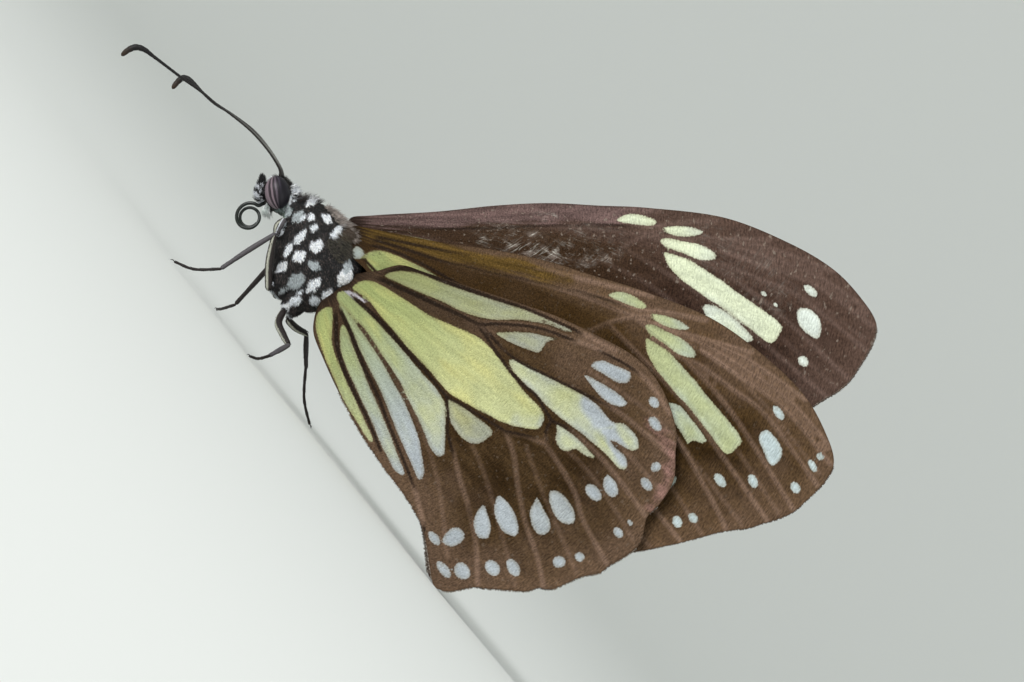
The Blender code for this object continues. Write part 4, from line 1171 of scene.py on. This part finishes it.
def skin_samples(skin, count):
    """Random places all over a skin, with their outward directions."""
    mesh = skin.data
    mesh.calc_loop_triangles()
    corners = np.zeros(len(mesh.loop_triangles) * 3, int)
    mesh.loop_triangles.foreach_get("vertices", corners)
    corners = corners.reshape(-1, 3)
    points = mesh_points(mesh)
    normals = np.zeros(len(mesh.vertices) * 3)
    mesh.vertices.foreach_get("normal", normals)
    normals = normals.reshape(-1, 3)
    a, b, c = (points[corners[:, i]] for i in range(3))
    area = np.linalg.norm(np.cross(b - a, c - a), axis=1)
    chosen = random.choice(len(corners), count, p=area / area.sum())
    share = random.random((count, 2))
    share[share.sum(axis=1) > 1] = 1 - share[share.sum(axis=1) > 1]
    weights = np.stack([1 - share.sum(axis=1), share[:, 0], share[:, 1]], axis=1)[:, :, None]
    here = (points[corners[chosen]] * weights).sum(axis=1)
    outward = (normals[corners[chosen]] * weights).sum(axis=1)
    return here, outward / np.linalg.norm(outward, axis=1)[:, None]


def unit(vectors):
    return vectors / np.maximum(np.linalg.norm(vectors, axis=-1, keepdims=True), 1e-9)


def add_blades(name, roots, outward, lie, length, width, lift, colours, unwrapped, belly=0.55):
    """Solid tapered blades on a skin: lift is how steeply each stands, in radians."""
    count = len(roots)
    lie = unit(lie - outward * (lie * outward).sum(axis=1, keepdims=True))
    across = np.cross(outward, lie)
    length, width, lift = (np.broadcast_to(v, count)[:, None] for v in (length, width, lift))
    rise = lie * np.cos(lift) + outward * np.sin(lift)
    ease = lie * np.cos(lift * 0.35) + outward * np.sin(lift * 0.35)
    foot = roots - outward * 0.05
    middle = foot + rise * length * belly
    tip = middle + ease * length * (1 - belly)
    thick = outward * width * 0.22
    rings = [foot - across * width * 0.4, foot + across * width * 0.4, foot + thick,
             middle - across * width * 0.5, middle + across * width * 0.5, middle + thick, tip]
    points = np.stack(rings, axis=1).reshape(-1, 3)
    pattern = np.array(((0, 3, 4, 1), (1, 4, 5, 2), (2, 5, 3, 0)))
    ends = np.array(((3, 6, 4), (4, 6, 5), (5, 6, 3), (0, 1, 2)))
    start = 7 * np.arange(count)[:, None, None]
    faces = [tuple(f) for f in (start + pattern).reshape(-1, 4).tolist()]
    faces += [tuple(f) for f in (start + ends).reshape(-1, 3).tolist()]
    blades = new_piece(name, points, faces)
    mesh = blades.data
    paint(mesh, "coat", np.repeat(colours, 7, axis=0))
    spots = np.array(((-1, -1), (1, -1), (0, -0.6), (-1, 0.4), (1, 0.4), (0, 0.6), (0, 1))) * 0.0015
    flat = (unwrapped[:, None, :] + spots).reshape(-1, 2)
    mesh.uv_layers.new(name="OFBake").data.foreach_set("uv", flat[corner_points(mesh)].ravel())
    mesh.shade_smooth()
    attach(blades, "root")
    return blades


coat_blades = coat_finish("body_coat", 0.55)


def add_coat(name, roots, outward, lie, length, width, lift, tint, belly):
    grain = random.random(len(roots))
    colours = body_colour(roots, grain)
    if tint is not None:
        colours = blend(colours, tint[0], tint[1] * (0.3 + 1.1 * grain))
    colours = np.minimum(colours * (0.85 + 0.35 * random.random((len(roots), 1))), 0.98)
    coat = add_blades(name, roots, outward, lie, length, width, lift, colours, body_unwrap(roots), belly)
    coat.data.materials.append(coat_blades)


all_roots, all_outward = skin_samples(body_skin, 260000)
forward, sideways, height = all_roots.T
beside = np.abs(sideways)


def add_tufts(name, chosen, count, direction, spread, length, width, lift, tint=None, belly=0.5):
    """A number of blades at random among the chosen places, swept along one direction."""
    chosen = np.flatnonzero(chosen)
    chosen = random.choice(chosen, min(count, len(chosen)), replace=False)
    count = len(chosen)
    swept = np.array(direction) + random.normal(0.0, spread, (count, 3))
    length, width, lift = (random.uniform(*limits, count) for limits in (length, width, lift))
    add_coat(name, all_roots[chosen], all_outward[chosen], swept, length, width, lift,
             tint, belly)


on_head = forward < -14.1
on_abdomen = forward > -5.9
on_thorax = ~on_head & ~on_abdomen
for side_name, on_side in (("left", sideways < 0), ("right", sideways > 0)):
    add_tufts("thorax_scales_" + side_name, on_thorax & on_side, 15500, (1.0, 0.0, -0.35), 0.22,
              (0.20, 0.36), (0.045, 0.085), (0.15, 0.55), belly=0.55)
add_tufts("abdomen_scales", on_abdomen, 12000, (1.0, 0.0, 0.0), 0.15, (0.26, 0.42), (0.09, 0.15),
          (0.08, 0.25), belly=0.55)
add_tufts("head_scales", on_head, 6000, (0.8, 0.0, -0.1), 0.3, (0.16, 0.30), (0.035, 0.065),
          (0.2, 0.6))

on_back = (height > 11.9) & (forward > -12.6) & (forward < -6.2) & (beside < 1.3)
add_tufts("back_hair", on_back, 2600, (1.0, 0.0, 0.4), 0.35, (0.4, 0.8), (0.024, 0.040), (0.3, 0.9),
          (back_hair, 0.6))
crest = (height > 11.95) & (forward > -12.5) & (forward < -9.4) & (beside < 1.0)
add_tufts("back_crest", crest, 800, (0.75, 0.0, 0.65), 0.45, (0.45, 0.95), (0.032, 0.052),
          (0.5, 1.15), (back_hair, 0.8))
under = (height < 7.4) & (forward < -6.6) & (forward > -13.6) & (all_outward[:, 2] < 0.1)
add_tufts("under_hair", under, 4800, (1.0, 0.0, -0.5), 0.3, (0.3, 0.5), (0.022, 0.04), (0.25, 0.7))
flank = (height < 11.6) & (forward < -7.4) & (forward > -13.6)
add_tufts("flank_hair", flank, 4200, (1.0, 0.0, -0.4), 0.35, (0.25, 0.42), (0.018, 0.03), (0.3, 0.8))
nape = (forward < -13.0) & (forward > -14.7) & (height > 10.5) & (beside < 0.75)
add_tufts("nape_hair", nape, 520, (0.5, 0.0, 0.9), 0.6, (0.45, 1.0), (0.022, 0.032), (0.8, 1.4),
          (brown_scales, 0.35))
flap_hair = (forward > -10.0) & (forward < -7.9) & (height > 10.1) & (height < 11.9) & (beside > 0.8)
add_tufts("flap_hair", flap_hair, 900, (1.0, 0.0, 0.15), 0.25, (0.35, 0.65), (0.026, 0.045),
          (0.3, 0.7), (olive_hair, 0.65))
shoulder = (forward < -13.15) & (forward > -13.75) & (height > 11.1) & (beside > 0.25) & (beside < 0.85)
add_tufts("shoulder_tuft", shoulder, 300, (0.6, 0.0, 0.2), 0.2, (0.20, 0.32), (0.06, 0.09),
          (0.35, 0.8), (white_scales, 2.5))
crown = (forward < -14.6) & (forward > -16.6) & (height > 10.5) & (beside < 0.9)
add_tufts("crown_hair", crown, 800, (0.4, 0.0, 0.6), 0.3, (0.3, 0.6), (0.022, 0.036), (0.5, 1.1))
tuft = (forward < -14.8) & (forward > -15.4) & (height > 10.5) & (beside > 0.3) & (beside < 0.9)
add_tufts("crown_tuft", tuft, 240, (0.35, 0.0, 0.9), 0.12, (0.45, 1.0), (0.035, 0.055), (1.0, 1.4),
          (white_scales, 1.2))
face = (forward < -16.0) & (height > 8.6) & (height < 10.7)
add_tufts("face_hair", face, 900, (-0.4, 0.0, -0.5), 0.4, (0.25, 0.5), (0.022, 0.036), (0.4, 1.0))
chin = (forward < -15.15) & (forward > -15.6) & (height < 8.9) & (beside > 0.3) & (beside < 0.75)
add_tufts("chin_tuft", chin, 260, (0.25, 0.0, -0.8), 0.10, (0.6, 1.2), (0.04, 0.06), (0.8, 1.2),
          (chin_white, 2.5))
eye_reach, eye_angle = round_eye(seen_from_side(all_roots))
behind_eye = (eye_reach > 1.02) & (eye_reach < 1.16) & (eye_angle > 0) & (eye_angle < 72) & on_head
add_tufts("eye_line", behind_eye, 520, (0.1, 0.0, -0.9), 0.08, (0.2, 0.35),
          (0.05, 0.07), (0.15, 0.5), (white_scales, 2.5))
collar = (forward < -13.9) & (forward > -14.8) & (height < 10.0) & (height > 8.6) & (beside > 0.5)
add_tufts("collar_hair", collar, 420, (0.9, 0.0, -0.35), 0.2, (0.35, 0.6), (0.03, 0.045), (0.2, 0.6),
          (dull_spot * 1.6, 0.6))


# Eyes: shiny ovals with dark stripes along them, like lines of longitude, and very fine facets. The pale
# mauve on one side of each eye is partly its own colour and partly a painted highlight.

eye_mauve_and_highlight = (0.185, 0.138, 0.160)
eye_grey = (0.042, 0.034, 0.050)
eye_stripe = (0.012, 0.008, 0.012)
eye_black = (0.006, 0.005, 0.008)


def eye_finish():
    finish = Finish("compound_eye", Roughness=0.42, Specular_IOR_Level=0.22,
                    Coat_Weight=0.05, Coat_Roughness=0.22)
    here = finish.node("TexCoord", {}, output=3)
    middle = in_frame(np.array(eye_centre))
    x = (finish.node("SeparateXYZ", {}, {"Vector": here}) - float(middle[0])) * (1 / MM)
    z = (finish.node("SeparateXYZ", {}, {"Vector": here}, output=2) - float(middle[2])) * (1 / MM)
    along = (x * math.cos(eye_slant) - z * math.sin(eye_slant)) * (1 / eye_radii[0])
    across = (x * math.sin(eye_slant) + z * math.cos(eye_slant)) * (1 / eye_radii[2])
    width = finish.node("Math", {"operation": "SQRT"}, {0: 1.06 - along * along})
    line = across / width
    cloud = finish.noise(here, 1500.0, 2.0)
    wave = finish.node("Math", {"operation": "SINE"}, {0: line * 17.0 + (cloud - 0.5) * 1.8 + 0.6})
    stripe = finish.step(wave, 0.50, -0.15) * finish.step(line, -0.90, -0.45)
    # Partly painted highlight: the pale mauve side stands in part for light falling on the eye
    pale = finish.mix(finish.step(line, -0.45, 0.35), eye_mauve_and_highlight, eye_grey)
    colour = finish.mix(stripe * 0.92, pale, eye_stripe)
    colour = finish.mix(finish.step(line + along * 0.35, 0.05, 0.50) * 0.92, colour, eye_black)
    facets = finish.node("TexVoronoi", {}, {"Vector": here, "Scale": 22000.0})
    return finish.finish(colour, facets, 0.000004)


eye_surface = eye_finish()
for eye_name, side in (("eye_left", -1), ("eye_right", 1)):
    centre = (eye_centre[0], side * eye_centre[1], eye_centre[2])
    eye = add_ball(eye_name, centre, eye_radii, eye_slant, 48, 32)
    eye.data.shade_smooth()
    eye.data.materials.append(eye_surface)
    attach(eye, "root")
    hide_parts(eye_name)


# Thin limbs: antennae, legs, palps and the tongue are round forms swept along a smooth line.

def frames_along(line):
    """Directions along, beside and above a line, without twisting."""
    along = unit(np.gradient(line, axis=0))
    beside = np.zeros_like(along)
    start = np.cross(along[0], (0.0, 0.0, 1.0))
    beside[0] = start if np.linalg.norm(start) > 0.2 else np.cross(along[0], (0.0, 1.0, 0.0))
    for i in range(1, len(line)):
        beside[i] = beside[i - 1]
        beside[i] = beside[i] - along[i] * (beside[i] @ along[i])
        beside[i] /= np.linalg.norm(beside[i])
    beside[0] /= np.linalg.norm(beside[0])
    return along, beside, np.cross(beside, along)


def length_and_shares(line):
    """A line's length, and the share of it that lies before each of its points."""
    steps = np.linalg.norm(np.diff(line, axis=0), axis=1)
    return steps.sum(), np.concatenate([[0.0], np.cumsum(steps)]) / steps.sum()


def tube_parts(knots, radius_at, spacing=0.08, sides=12):
    """Points and faces of a closed tube; radius_at turns the share of its length into a radius."""
    line = curve_through(knots, spacing)
    length, share = length_and_shares(line)
    _, beside, above = frames_along(line)
    turns = np.arange(sides) * 2 * np.pi / sides
    ring = beside[:, None, :] * np.cos(turns)[:, None] + above[:, None, :] * np.sin(turns)[:, None]
    radius = np.array([radius_at(t) for t in share])
    ease = np.sqrt(np.clip(np.minimum(share, 1 - share) * length / radius, 0.0, 1.0) * 0.95 + 0.05)
    points = line[:, None, :] + ring * (radius * ease)[:, None, None]
    faces = ring_faces(len(line), sides)
    return points.reshape(-1, 3), faces, np.repeat(share, sides), np.tile(np.sin(turns), len(line))


def add_limb(name, pieces, colour_at):
    """Several tubes in one mesh; colour_at gives colours from place in order, share of length, height."""
    points, faces, colours = [], [], []
    count = 0
    for order, (knots, radius_at) in enumerate(pieces):
        corners, quads, share, height = tube_parts(knots, radius_at)
        points.append(corners)
        faces += [tuple(count + i for i in face) for face in quads]
        colours.append(colour_at(order, share, height))
        count += len(corners)
    limb = new_piece(name, np.vstack(points), faces)
    paint(limb.data, "coat", np.vstack(colours))
    select_only(limb)
    bpy.ops.object.mode_set(mode="EDIT")
    bpy.ops.mesh.select_all(action="SELECT")
    bpy.ops.mesh.normals_make_consistent(inside=False)
    bpy.ops.object.mode_set(mode="OBJECT")
    limb.data.shade_smooth()
    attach(limb, "root")
    return limb


def clothe(name, pieces, colour_at, per_mm, length, width, lift):
    """Small scales lying along the tubes of a limb."""
    roots, outward, lie, colours, flat = [], [], [], [], []
    for order, (knots, radius_at) in enumerate(pieces):
        line = curve_through(knots, 0.05)
        tube_length, share = length_and_shares(line)
        along, beside, above = frames_along(line)
        count = int(per_mm[order] * tube_length)
        if count == 0:
            continue
        at = random.uniform(0.03, 0.94, count)
        turn = random.uniform(0, 2 * np.pi, count)
        row = np.clip(np.searchsorted(share, at), 0, len(line) - 1)
        out = beside[row] * np.cos(turn)[:, None] + above[row] * np.sin(turn)[:, None]
        radius = np.array([radius_at(t) for t in at])
        roots.append(line[row] + out * radius[:, None])
        outward.append(out)
        lie.append(along[row] + random.normal(0.0, 0.15, (count, 3)))
        tone = colour_at(order, at, np.sin(turn)) * random.uniform(0.7, 1.35, (count, 1))
        colours.append(tone)
        strip = (order + 0.05 + 0.9 * turn / (2 * np.pi)) / len(pieces)
        flat.append(np.stack([0.02 + 0.96 * at, strip], axis=1))
    roots = np.vstack(roots)
    count = len(roots)
    length, width, lift = (random.uniform(*limits, count) for limits in (length, width, lift))
    blades = add_blades(name, roots, np.vstack(outward), np.vstack(lie), length, width, lift,
                        np.vstack(colours), np.vstack(flat))
    blades.data.materials.append(coat_blades)
    return blades


chitin = Finish("dark_chitin", Specular_IOR_Level=0.25)
chitin_here = chitin.node("TexCoord", {}, output=3)
chitin_grain = chitin.noise(chitin_here, 9000.0, 2.0)
chitin_colour = chitin.node("Attribute", {"attribute_name": "coat"})
chitin_colour = chitin.shade(chitin_colour, 0.7 + chitin_grain * 0.6)
chitin_material = chitin.finish(chitin_colour, chitin_grain, 0.000012, roughness=0.48)

horn = Finish("tongue_horn", Specular_IOR_Level=0.3, Coat_Weight=0.15, Coat_Roughness=0.12)
horn_material = horn.finish(horn.node("Attribute", {"attribute_name": "coat"}), roughness=0.3)


# Antennae: forty joints, black, with a painted grey highlight on top near the head, and a bent club.

antenna_root = (-16.45, 0.42)
antennae = {        # side, degrees off the body's line, then distance along and height
    "antenna_left": (-1, 14.0, (
        (-0.6, 10.4), (0.1, 10.82), (0.7, 11.18), (2.4, 11.37), (4.4, 11.28), (6.5, 10.85), (7.8, 10.47),
        (9.3, 10.18), (11.0, 9.70), (12.4, 9.36), (13.8, 9.02), (14.65, 8.8), (15.2, 8.4), (15.4, 7.8),
        (15.4, 7.10))),
    "antenna_right": (1, 28.0, (
        (-0.6, 10.4), (0.1, 10.80), (1.1, 11.2), (3.4, 11.44), (6.0, 11.40), (8.8, 10.88), (10.8, 10.36),
        (12.5, 10.16), (13.8, 10.08), (14.7, 9.92), (15.15, 9.6), (15.15, 9.05), (14.95, 8.45))),
}
antenna_joints = 40
antenna_black = np.array((0.012, 0.009, 0.008))
antenna_tip = np.array((0.030, 0.017, 0.010))
antenna_top_highlight = np.array((0.17, 0.17, 0.155))


def antenna_radius(t):
    root = 0.035 * math.exp(-(t / 0.10) ** 2)
    club = 0.125 * math.exp(-((t - 0.93) / 0.07) ** 2)
    swell = 0.140 - 0.030 * math.sin(math.pi * t) + root + club
    return swell * (1.0 - 0.10 * abs(math.sin(math.pi * antenna_joints * t)) ** 12)


def antenna_tone(order, share, height):
    """Black with a reddish tip, and a painted grey highlight on top near the head."""
    tone = np.tile(antenna_black, (len(share), 1))
    tone = blend(tone, antenna_tip, np.clip((share - 0.94) * 20.0, 0.0, 1.0))
    # Painted highlight: the top near the head is drawn grey where light falls on it
    lit = (height > 0.45) * np.clip(0.60 - share, 0.0, 0.5) * np.clip(share * 12.0 - 0.6, 0.0, 1.0)
    tone = blend(tone, antenna_top_highlight, lit * 1.8)
    return blend(tone, black_scales, np.clip(share * 2.0 - 0.6, 0.0, 0.8) * (share < 0.94))


for antenna_name, (side, yaw, profile) in antennae.items():
    yaw = math.radians(yaw)
    knots = [(antenna_root[0] - along * math.cos(yaw), side * (antenna_root[1] + along * math.sin(yaw)), z)
             for along, z in profile]
    pieces = [(knots, antenna_radius)]
    antenna = add_limb(antenna_name, pieces, antenna_tone)
    antenna.data.materials.append(chitin_material)
    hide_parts(antenna_name)
    scales = clothe(antenna_name + "_scales", pieces, antenna_tone, [70],
                    (0.10, 0.16), (0.03, 0.05), (0.05, 0.3))


# Tongue: coiled under the head in nearly two turns, with fine rings.

tongue_black = (0.005, 0.008, 0.006)
coil_centre = (-15.73, 6.87)
coil_turns = (100, 135, 183, 230, 270, 312, 360, 411, 450, 500, 590, 672, 740)
coil_radii = (1.16, 1.10, 1.02, 0.98, 0.98, 0.93, 0.84, 0.80, 0.78, 0.78, 0.76, 0.76, 0.74)


def tongue_knots():
    knots = [(-15.7, -0.10, 8.8), (-15.85, -0.14, 8.35)]
    for turn in range(100, 741, 20):
        radius = float(np.interp(turn, coil_turns, coil_radii))
        away = -0.14 + 0.30 * min(1.0, max(0.0, (turn - 300) / 140))
        turn = math.radians(turn)
        x = coil_centre[0] + radius * math.cos(turn)
        knots.append((x, away, coil_centre[1] + radius * math.sin(turn)))
    return knots


def tongue_radius(t):
    return (0.150 - 0.03 * t) * (1.0 - 0.05 * abs(math.sin(math.pi * 70 * t)) ** 6)


def tongue_tone(order, share, height):
    return np.tile(tongue_black, (len(share), 1))


tongue = add_limb("proboscis", [(tongue_knots(), tongue_radius)], tongue_tone)
tongue.data.materials.append(horn_material)
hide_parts("proboscis")


# Palps: two upturned feelers before the face, black above and white below.

palp_knots = ((-15.9, 0.45, 8.75), (-16.25, 0.72, 8.4), (-16.7, 0.74, 8.65), (-17.05, 0.64, 9.15),
              (-17.62, 0.5, 9.74))


def palp_radius(t):
    return 0.20 + 0.09 * math.sin(math.pi * min(1.0, t * 1.4)) - 0.16 * max(0.0, t - 0.62) / 0.38


def palp_tone(order, share, height):
    black = np.tile(black_scales, (len(share), 1))
    mottled = np.sin(share * 31.0 + height * 2.5)
    return blend(black, white_scales * 0.62, (share > 0.05) * (share < 0.62) * (mottled * 1.2 + 0.35))


for palp_name, side in (("palp_left", -1), ("palp_right", 1)):
    pieces = [([(x, side * away, z) for x, away, z in palp_knots], palp_radius)]
    palp = add_limb(palp_name, pieces, palp_tone)
    palp.data.materials.append(chitin_material)
    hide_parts(palp_name)
    scales = clothe(palp_name + "_scales", pieces, palp_tone, [460],
                    (0.22, 0.46), (0.028, 0.05), (0.25, 0.8))


# Legs: hip, thigh, shank and a foot of five joints with two claws.

foreleg = (
    ((-12.9, 0.8, 8.4), (-12.95, 1.4, 7.75)),
    ((-12.95, 1.4, 7.75), (-13.35, 1.5, 8.2), (-13.4, 1.55, 8.8)),
    ((-13.4, 1.6, 8.9), (-13.2, 1.75, 8.5), (-12.85, 1.85, 7.75)), None,
)
left_midleg = (
    ((-10.3, 0.7, 6.0), (-9.85, 1.75, 4.6)),
    ((-9.8, 1.8, 4.5), (-11.2, 2.3, 5.75), (-12.2, 2.6, 6.95), (-12.65, 2.7, 7.6)),
    ((-12.7, 2.75, 7.6), (-12.9, 3.3, 5.2), (-13.0, 4.0, 2.6)),
    ((-13.0, 4.0, 2.6), (-14.2, 4.5, 1.0), (-15.6, 5.0, 0.16)),
)
left_hindleg = (
    ((-8.0, 0.6, 5.8), (-7.8, 1.2, 4.3)),
    ((-7.8, 1.2, 4.3), (-7.2, 1.8, 3.45), (-6.0, 2.6, 3.15), (-4.95, 3.4, 3.0)),
    ((-4.9, 3.5, 3.0), (-4.9, 4.9, 1.35)),
    ((-4.9, 4.9, 1.3), (-5.05, 5.9, 0.55), (-5.4, 6.9, 0.16)),
)
right_midleg = (
    ((-10.3, 0.7, 6.0), (-9.85, 1.75, 4.6)),
    ((-9.8, 1.8, 4.5), (-11.2, 2.3, 5.75), (-12.5, 2.7, 7.2)),
    ((-12.5, 2.75, 7.15), (-12.2, 3.4, 4.5), (-11.9, 4.0, 1.6)),
    ((-11.9, 4.0, 1.55), (-12.6, 5.4, 0.62), (-13.2, 6.8, 0.16)),
)
right_hindleg = (
    ((-8.0, 0.6, 5.8), (-7.65, 1.3, 4.2)),
    ((-7.6, 1.35, 4.1), (-6.9, 2.2, 4.2), (-6.15, 2.95, 4.55)),
    ((-6.15, 3.0, 4.5), (-5.1, 3.65, 3.5), (-4.25, 3.9, 2.8)),
    ((-4.25, 3.9, 2.75), (-2.6, 4.6, 1.15), (-0.9, 5.7, 0.16)),
)
legs = {        # side, and the lines of hip, thigh, shank and foot; a foreleg has no foot
    "foreleg_left": (-1, *foreleg), "midleg_left": (-1, *left_midleg), "hindleg_left": (-1, *left_hindleg),
    "foreleg_right": (1, *foreleg), "midleg_right": (1, *right_midleg), "hindleg_right": (1, *right_hindleg),
}
leg_black = np.array((0.018, 0.013, 0.012))
leg_cream = np.array((0.46, 0.46, 0.38))
shank_grey = np.array((0.075, 0.068, 0.074))
joint_overlap = 0.14        # each joint reaches into the one before


def hip_radius(t):
    return 0.34 - 0.06 * t


def thigh_radius(t):
    return 0.27 + 0.06 * math.sin(math.pi * t) - 0.05 * t


def shank_radius(t):
    return 0.165 + 0.050 * math.sin(math.pi * min(1.0, t * 1.3)) + 0.01 * t


def foot_radius(t):
    joint = (t * 5.0) % 1.0
    return 0.115 + 0.03 * joint ** 2 - 0.02 * t


def claw_radius(t):
    return 0.05 * (1.0 - 0.8 * t)


def leg_tone(order, share, height):
    dark = np.tile(leg_black, (len(share), 1))
    if order == 0:
        return blend(dark, white_scales, (share > 0.35) * (share < 0.8) * 0.8)
    if order == 1:
        stripe = (height < -0.15) & (height > -0.85) & (share < 0.97)
        return blend(dark, leg_cream, stripe * 0.95)
    if order == 2:
        return blend(dark, shank_grey, np.clip(0.35 + height * 0.75, 0.0, 0.95))
    return dark


def foreleg_tone(order, share, height):
    tone = leg_tone(order, share, height)
    return blend(tone, white_scales * 0.7, (order == 2) * (np.abs(height) < 0.35))


def claw_knots(end, heading, side):
    across = np.array((-heading[1], heading[0], 0.0)) * side * 0.12
    tip = end + heading * 0.30 + across
    tip[2] = 0.03
    return [end, end + heading * 0.12 + across + (0, 0, 0.03), tip]


for leg_name, (side, hip, thigh, shank, foot) in legs.items():
    mirrored = [np.array(part) * (1, side, 1) for part in (hip, thigh, shank, foot) if part is not None]
    for part in mirrored[1:]:
        part[0] -= unit(part[1] - part[0]) * joint_overlap
    pieces = list(zip(mirrored, (hip_radius, thigh_radius, shank_radius, foot_radius)))
    if foot is not None:
        end = mirrored[3][-1]
        heading = unit((mirrored[3][-1] - mirrored[3][-2]) * (1, 1, 0))
        pieces += [(claw_knots(end, heading, turn), claw_radius) for turn in (-1, 1)]
    tone = foreleg_tone if foot is None else leg_tone
    leg = add_limb(leg_name, pieces, tone)
    leg.data.materials.append(chitin_material)
    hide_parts(leg_name)
    density = [260, 340, 260, 160, 0, 0][:len(pieces)]
    scales = clothe(leg_name + "_scales", pieces, tone, density,
                    (0.16, 0.28), (0.035, 0.06), (0.05, 0.35))


# Fringe: short flat scales along each wing's outer and rear rim, pale between the veins and dark
# at them. None reaches below the floor.

fringe_pale = np.array((0.34, 0.29, 0.24))
fringe_brown = np.array((0.12, 0.085, 0.064))


def add_fringe(name, sheet, side, hinge, rise, plane, dip, length, whiteness):
    _, _, rim, crests = sheet
    count = int(34 * len(rim) * 0.3)
    at = random.uniform(0, len(rim), count)
    row = at.astype(int)
    after = rim[(row + 1) % len(rim)]
    flat = rim[row] + (after - rim[row]) * (at - row)[:, None]
    run = unit(after - rim[row])
    outwards = np.stack([run[:, 1], -run[:, 0]], axis=1)
    outwards *= np.where(depth_inside(flat + outwards * 0.3, rim) > 0, -1.0, 1.0)[:, None]
    flat = flat - outwards * 0.10
    free = (flat[:, 0] > 6.0) & (outwards @ (0.5, 0.87) > 0.35)
    flat, outwards, at = flat[free], outwards[free], at[free]
    away = plane - dip(flat)
    roots = upright(flat, away, side, hinge, rise)
    lie = upright(flat + outwards * 0.2, away, side, hinge, rise) - roots
    above_floor = roots[:, 2] + unit(lie)[:, 2] * length[1] > 0.03
    flat, at, roots, lie = flat[above_floor], at[above_floor], roots[above_floor], lie[above_floor]
    count = len(flat)
    to_vein = np.min([distance_to(flat, crest) for crest in crests], axis=0)
    pale = (np.clip((to_vein - 0.45) * 2.5, 0.0, 1.0) * whiteness) > random.random(count)
    colours = np.where(pale[:, None], fringe_pale, fringe_brown)
    colours = colours * random.uniform(0.8, 1.2, (count, 1))
    outward = np.tile((0.0, float(side), 0.0), (count, 1))
    unwrapped = np.stack([0.02 + 0.96 * at / len(rim), random.uniform(0.1, 0.9, count)], axis=1)
    lie = lie + random.normal(0, 0.02, (count, 3))
    length = random.uniform(*length, count)
    width = random.uniform(0.05, 0.09, count)
    lift = random.uniform(-0.1, 0.1, count)
    fringe = add_blades(name, roots, outward, lie, length, width, lift, colours, unwrapped)
    fringe.data.materials.append(coat_blades)


for wing_name, places in wings.items():
    if wing_name.startswith("forewing"):
        settings = (fore_plane, fore_dip, (0.14, 0.22), 0.15)
        add_fringe(wing_name + "_fringe", fore_sheet, *places, *settings)
    else:
        settings = (hind_plane, hind_dip, (0.15, 0.26), 0.6)
        add_fringe(wing_name + "_fringe", hind_sheet, *places, *settings)


# Hairs on the roots of the forewings, brown outside on the left wing and mauve inside on the right.

def add_root_hair(wing_name, colour, count):
    side, hinge, rise = wings[wing_name]
    flat = np.stack([random.uniform(-1.1, 2.6, count), random.uniform(-1.5, 0.3, count)], axis=1)
    flat = flat[(depth_inside(flat, fore_sheet[2]) > 0.05) & (flat[:, 0] < random.uniform(0.0, 2.8, count))]
    count = len(flat)
    away = np.full(count, fore_plane + 0.10 * side)     # behind the wing, so that only the ends show
    roots = upright(flat, away, side, hinge, rise)
    lie = upright(flat + (0.5, 0.05), away, side, hinge, rise) - roots
    lie += random.normal(0.0, 0.08, (count, 3))
    outward = np.tile((0.0, -1.0, 0.0), (count, 1))
    colours = np.array(colour) * random.uniform(0.5, 1.5, (count, 1))
    length = random.uniform(0.5, 0.9, count)
    width = random.uniform(0.03, 0.05, count)
    lift = random.uniform(0.05, 0.35, count)
    hair = add_blades(wing_name + "_root_hair", roots, outward, lie, length, width, lift, colours,
                      (flat + (2.0, 2.0)) / 6.0)
    hair.data.materials.append(coat_blades)


add_root_hair("forewing_left", (0.050, 0.036, 0.026), 700)
add_root_hair("forewing_right", (0.190, 0.150, 0.180), 1200)
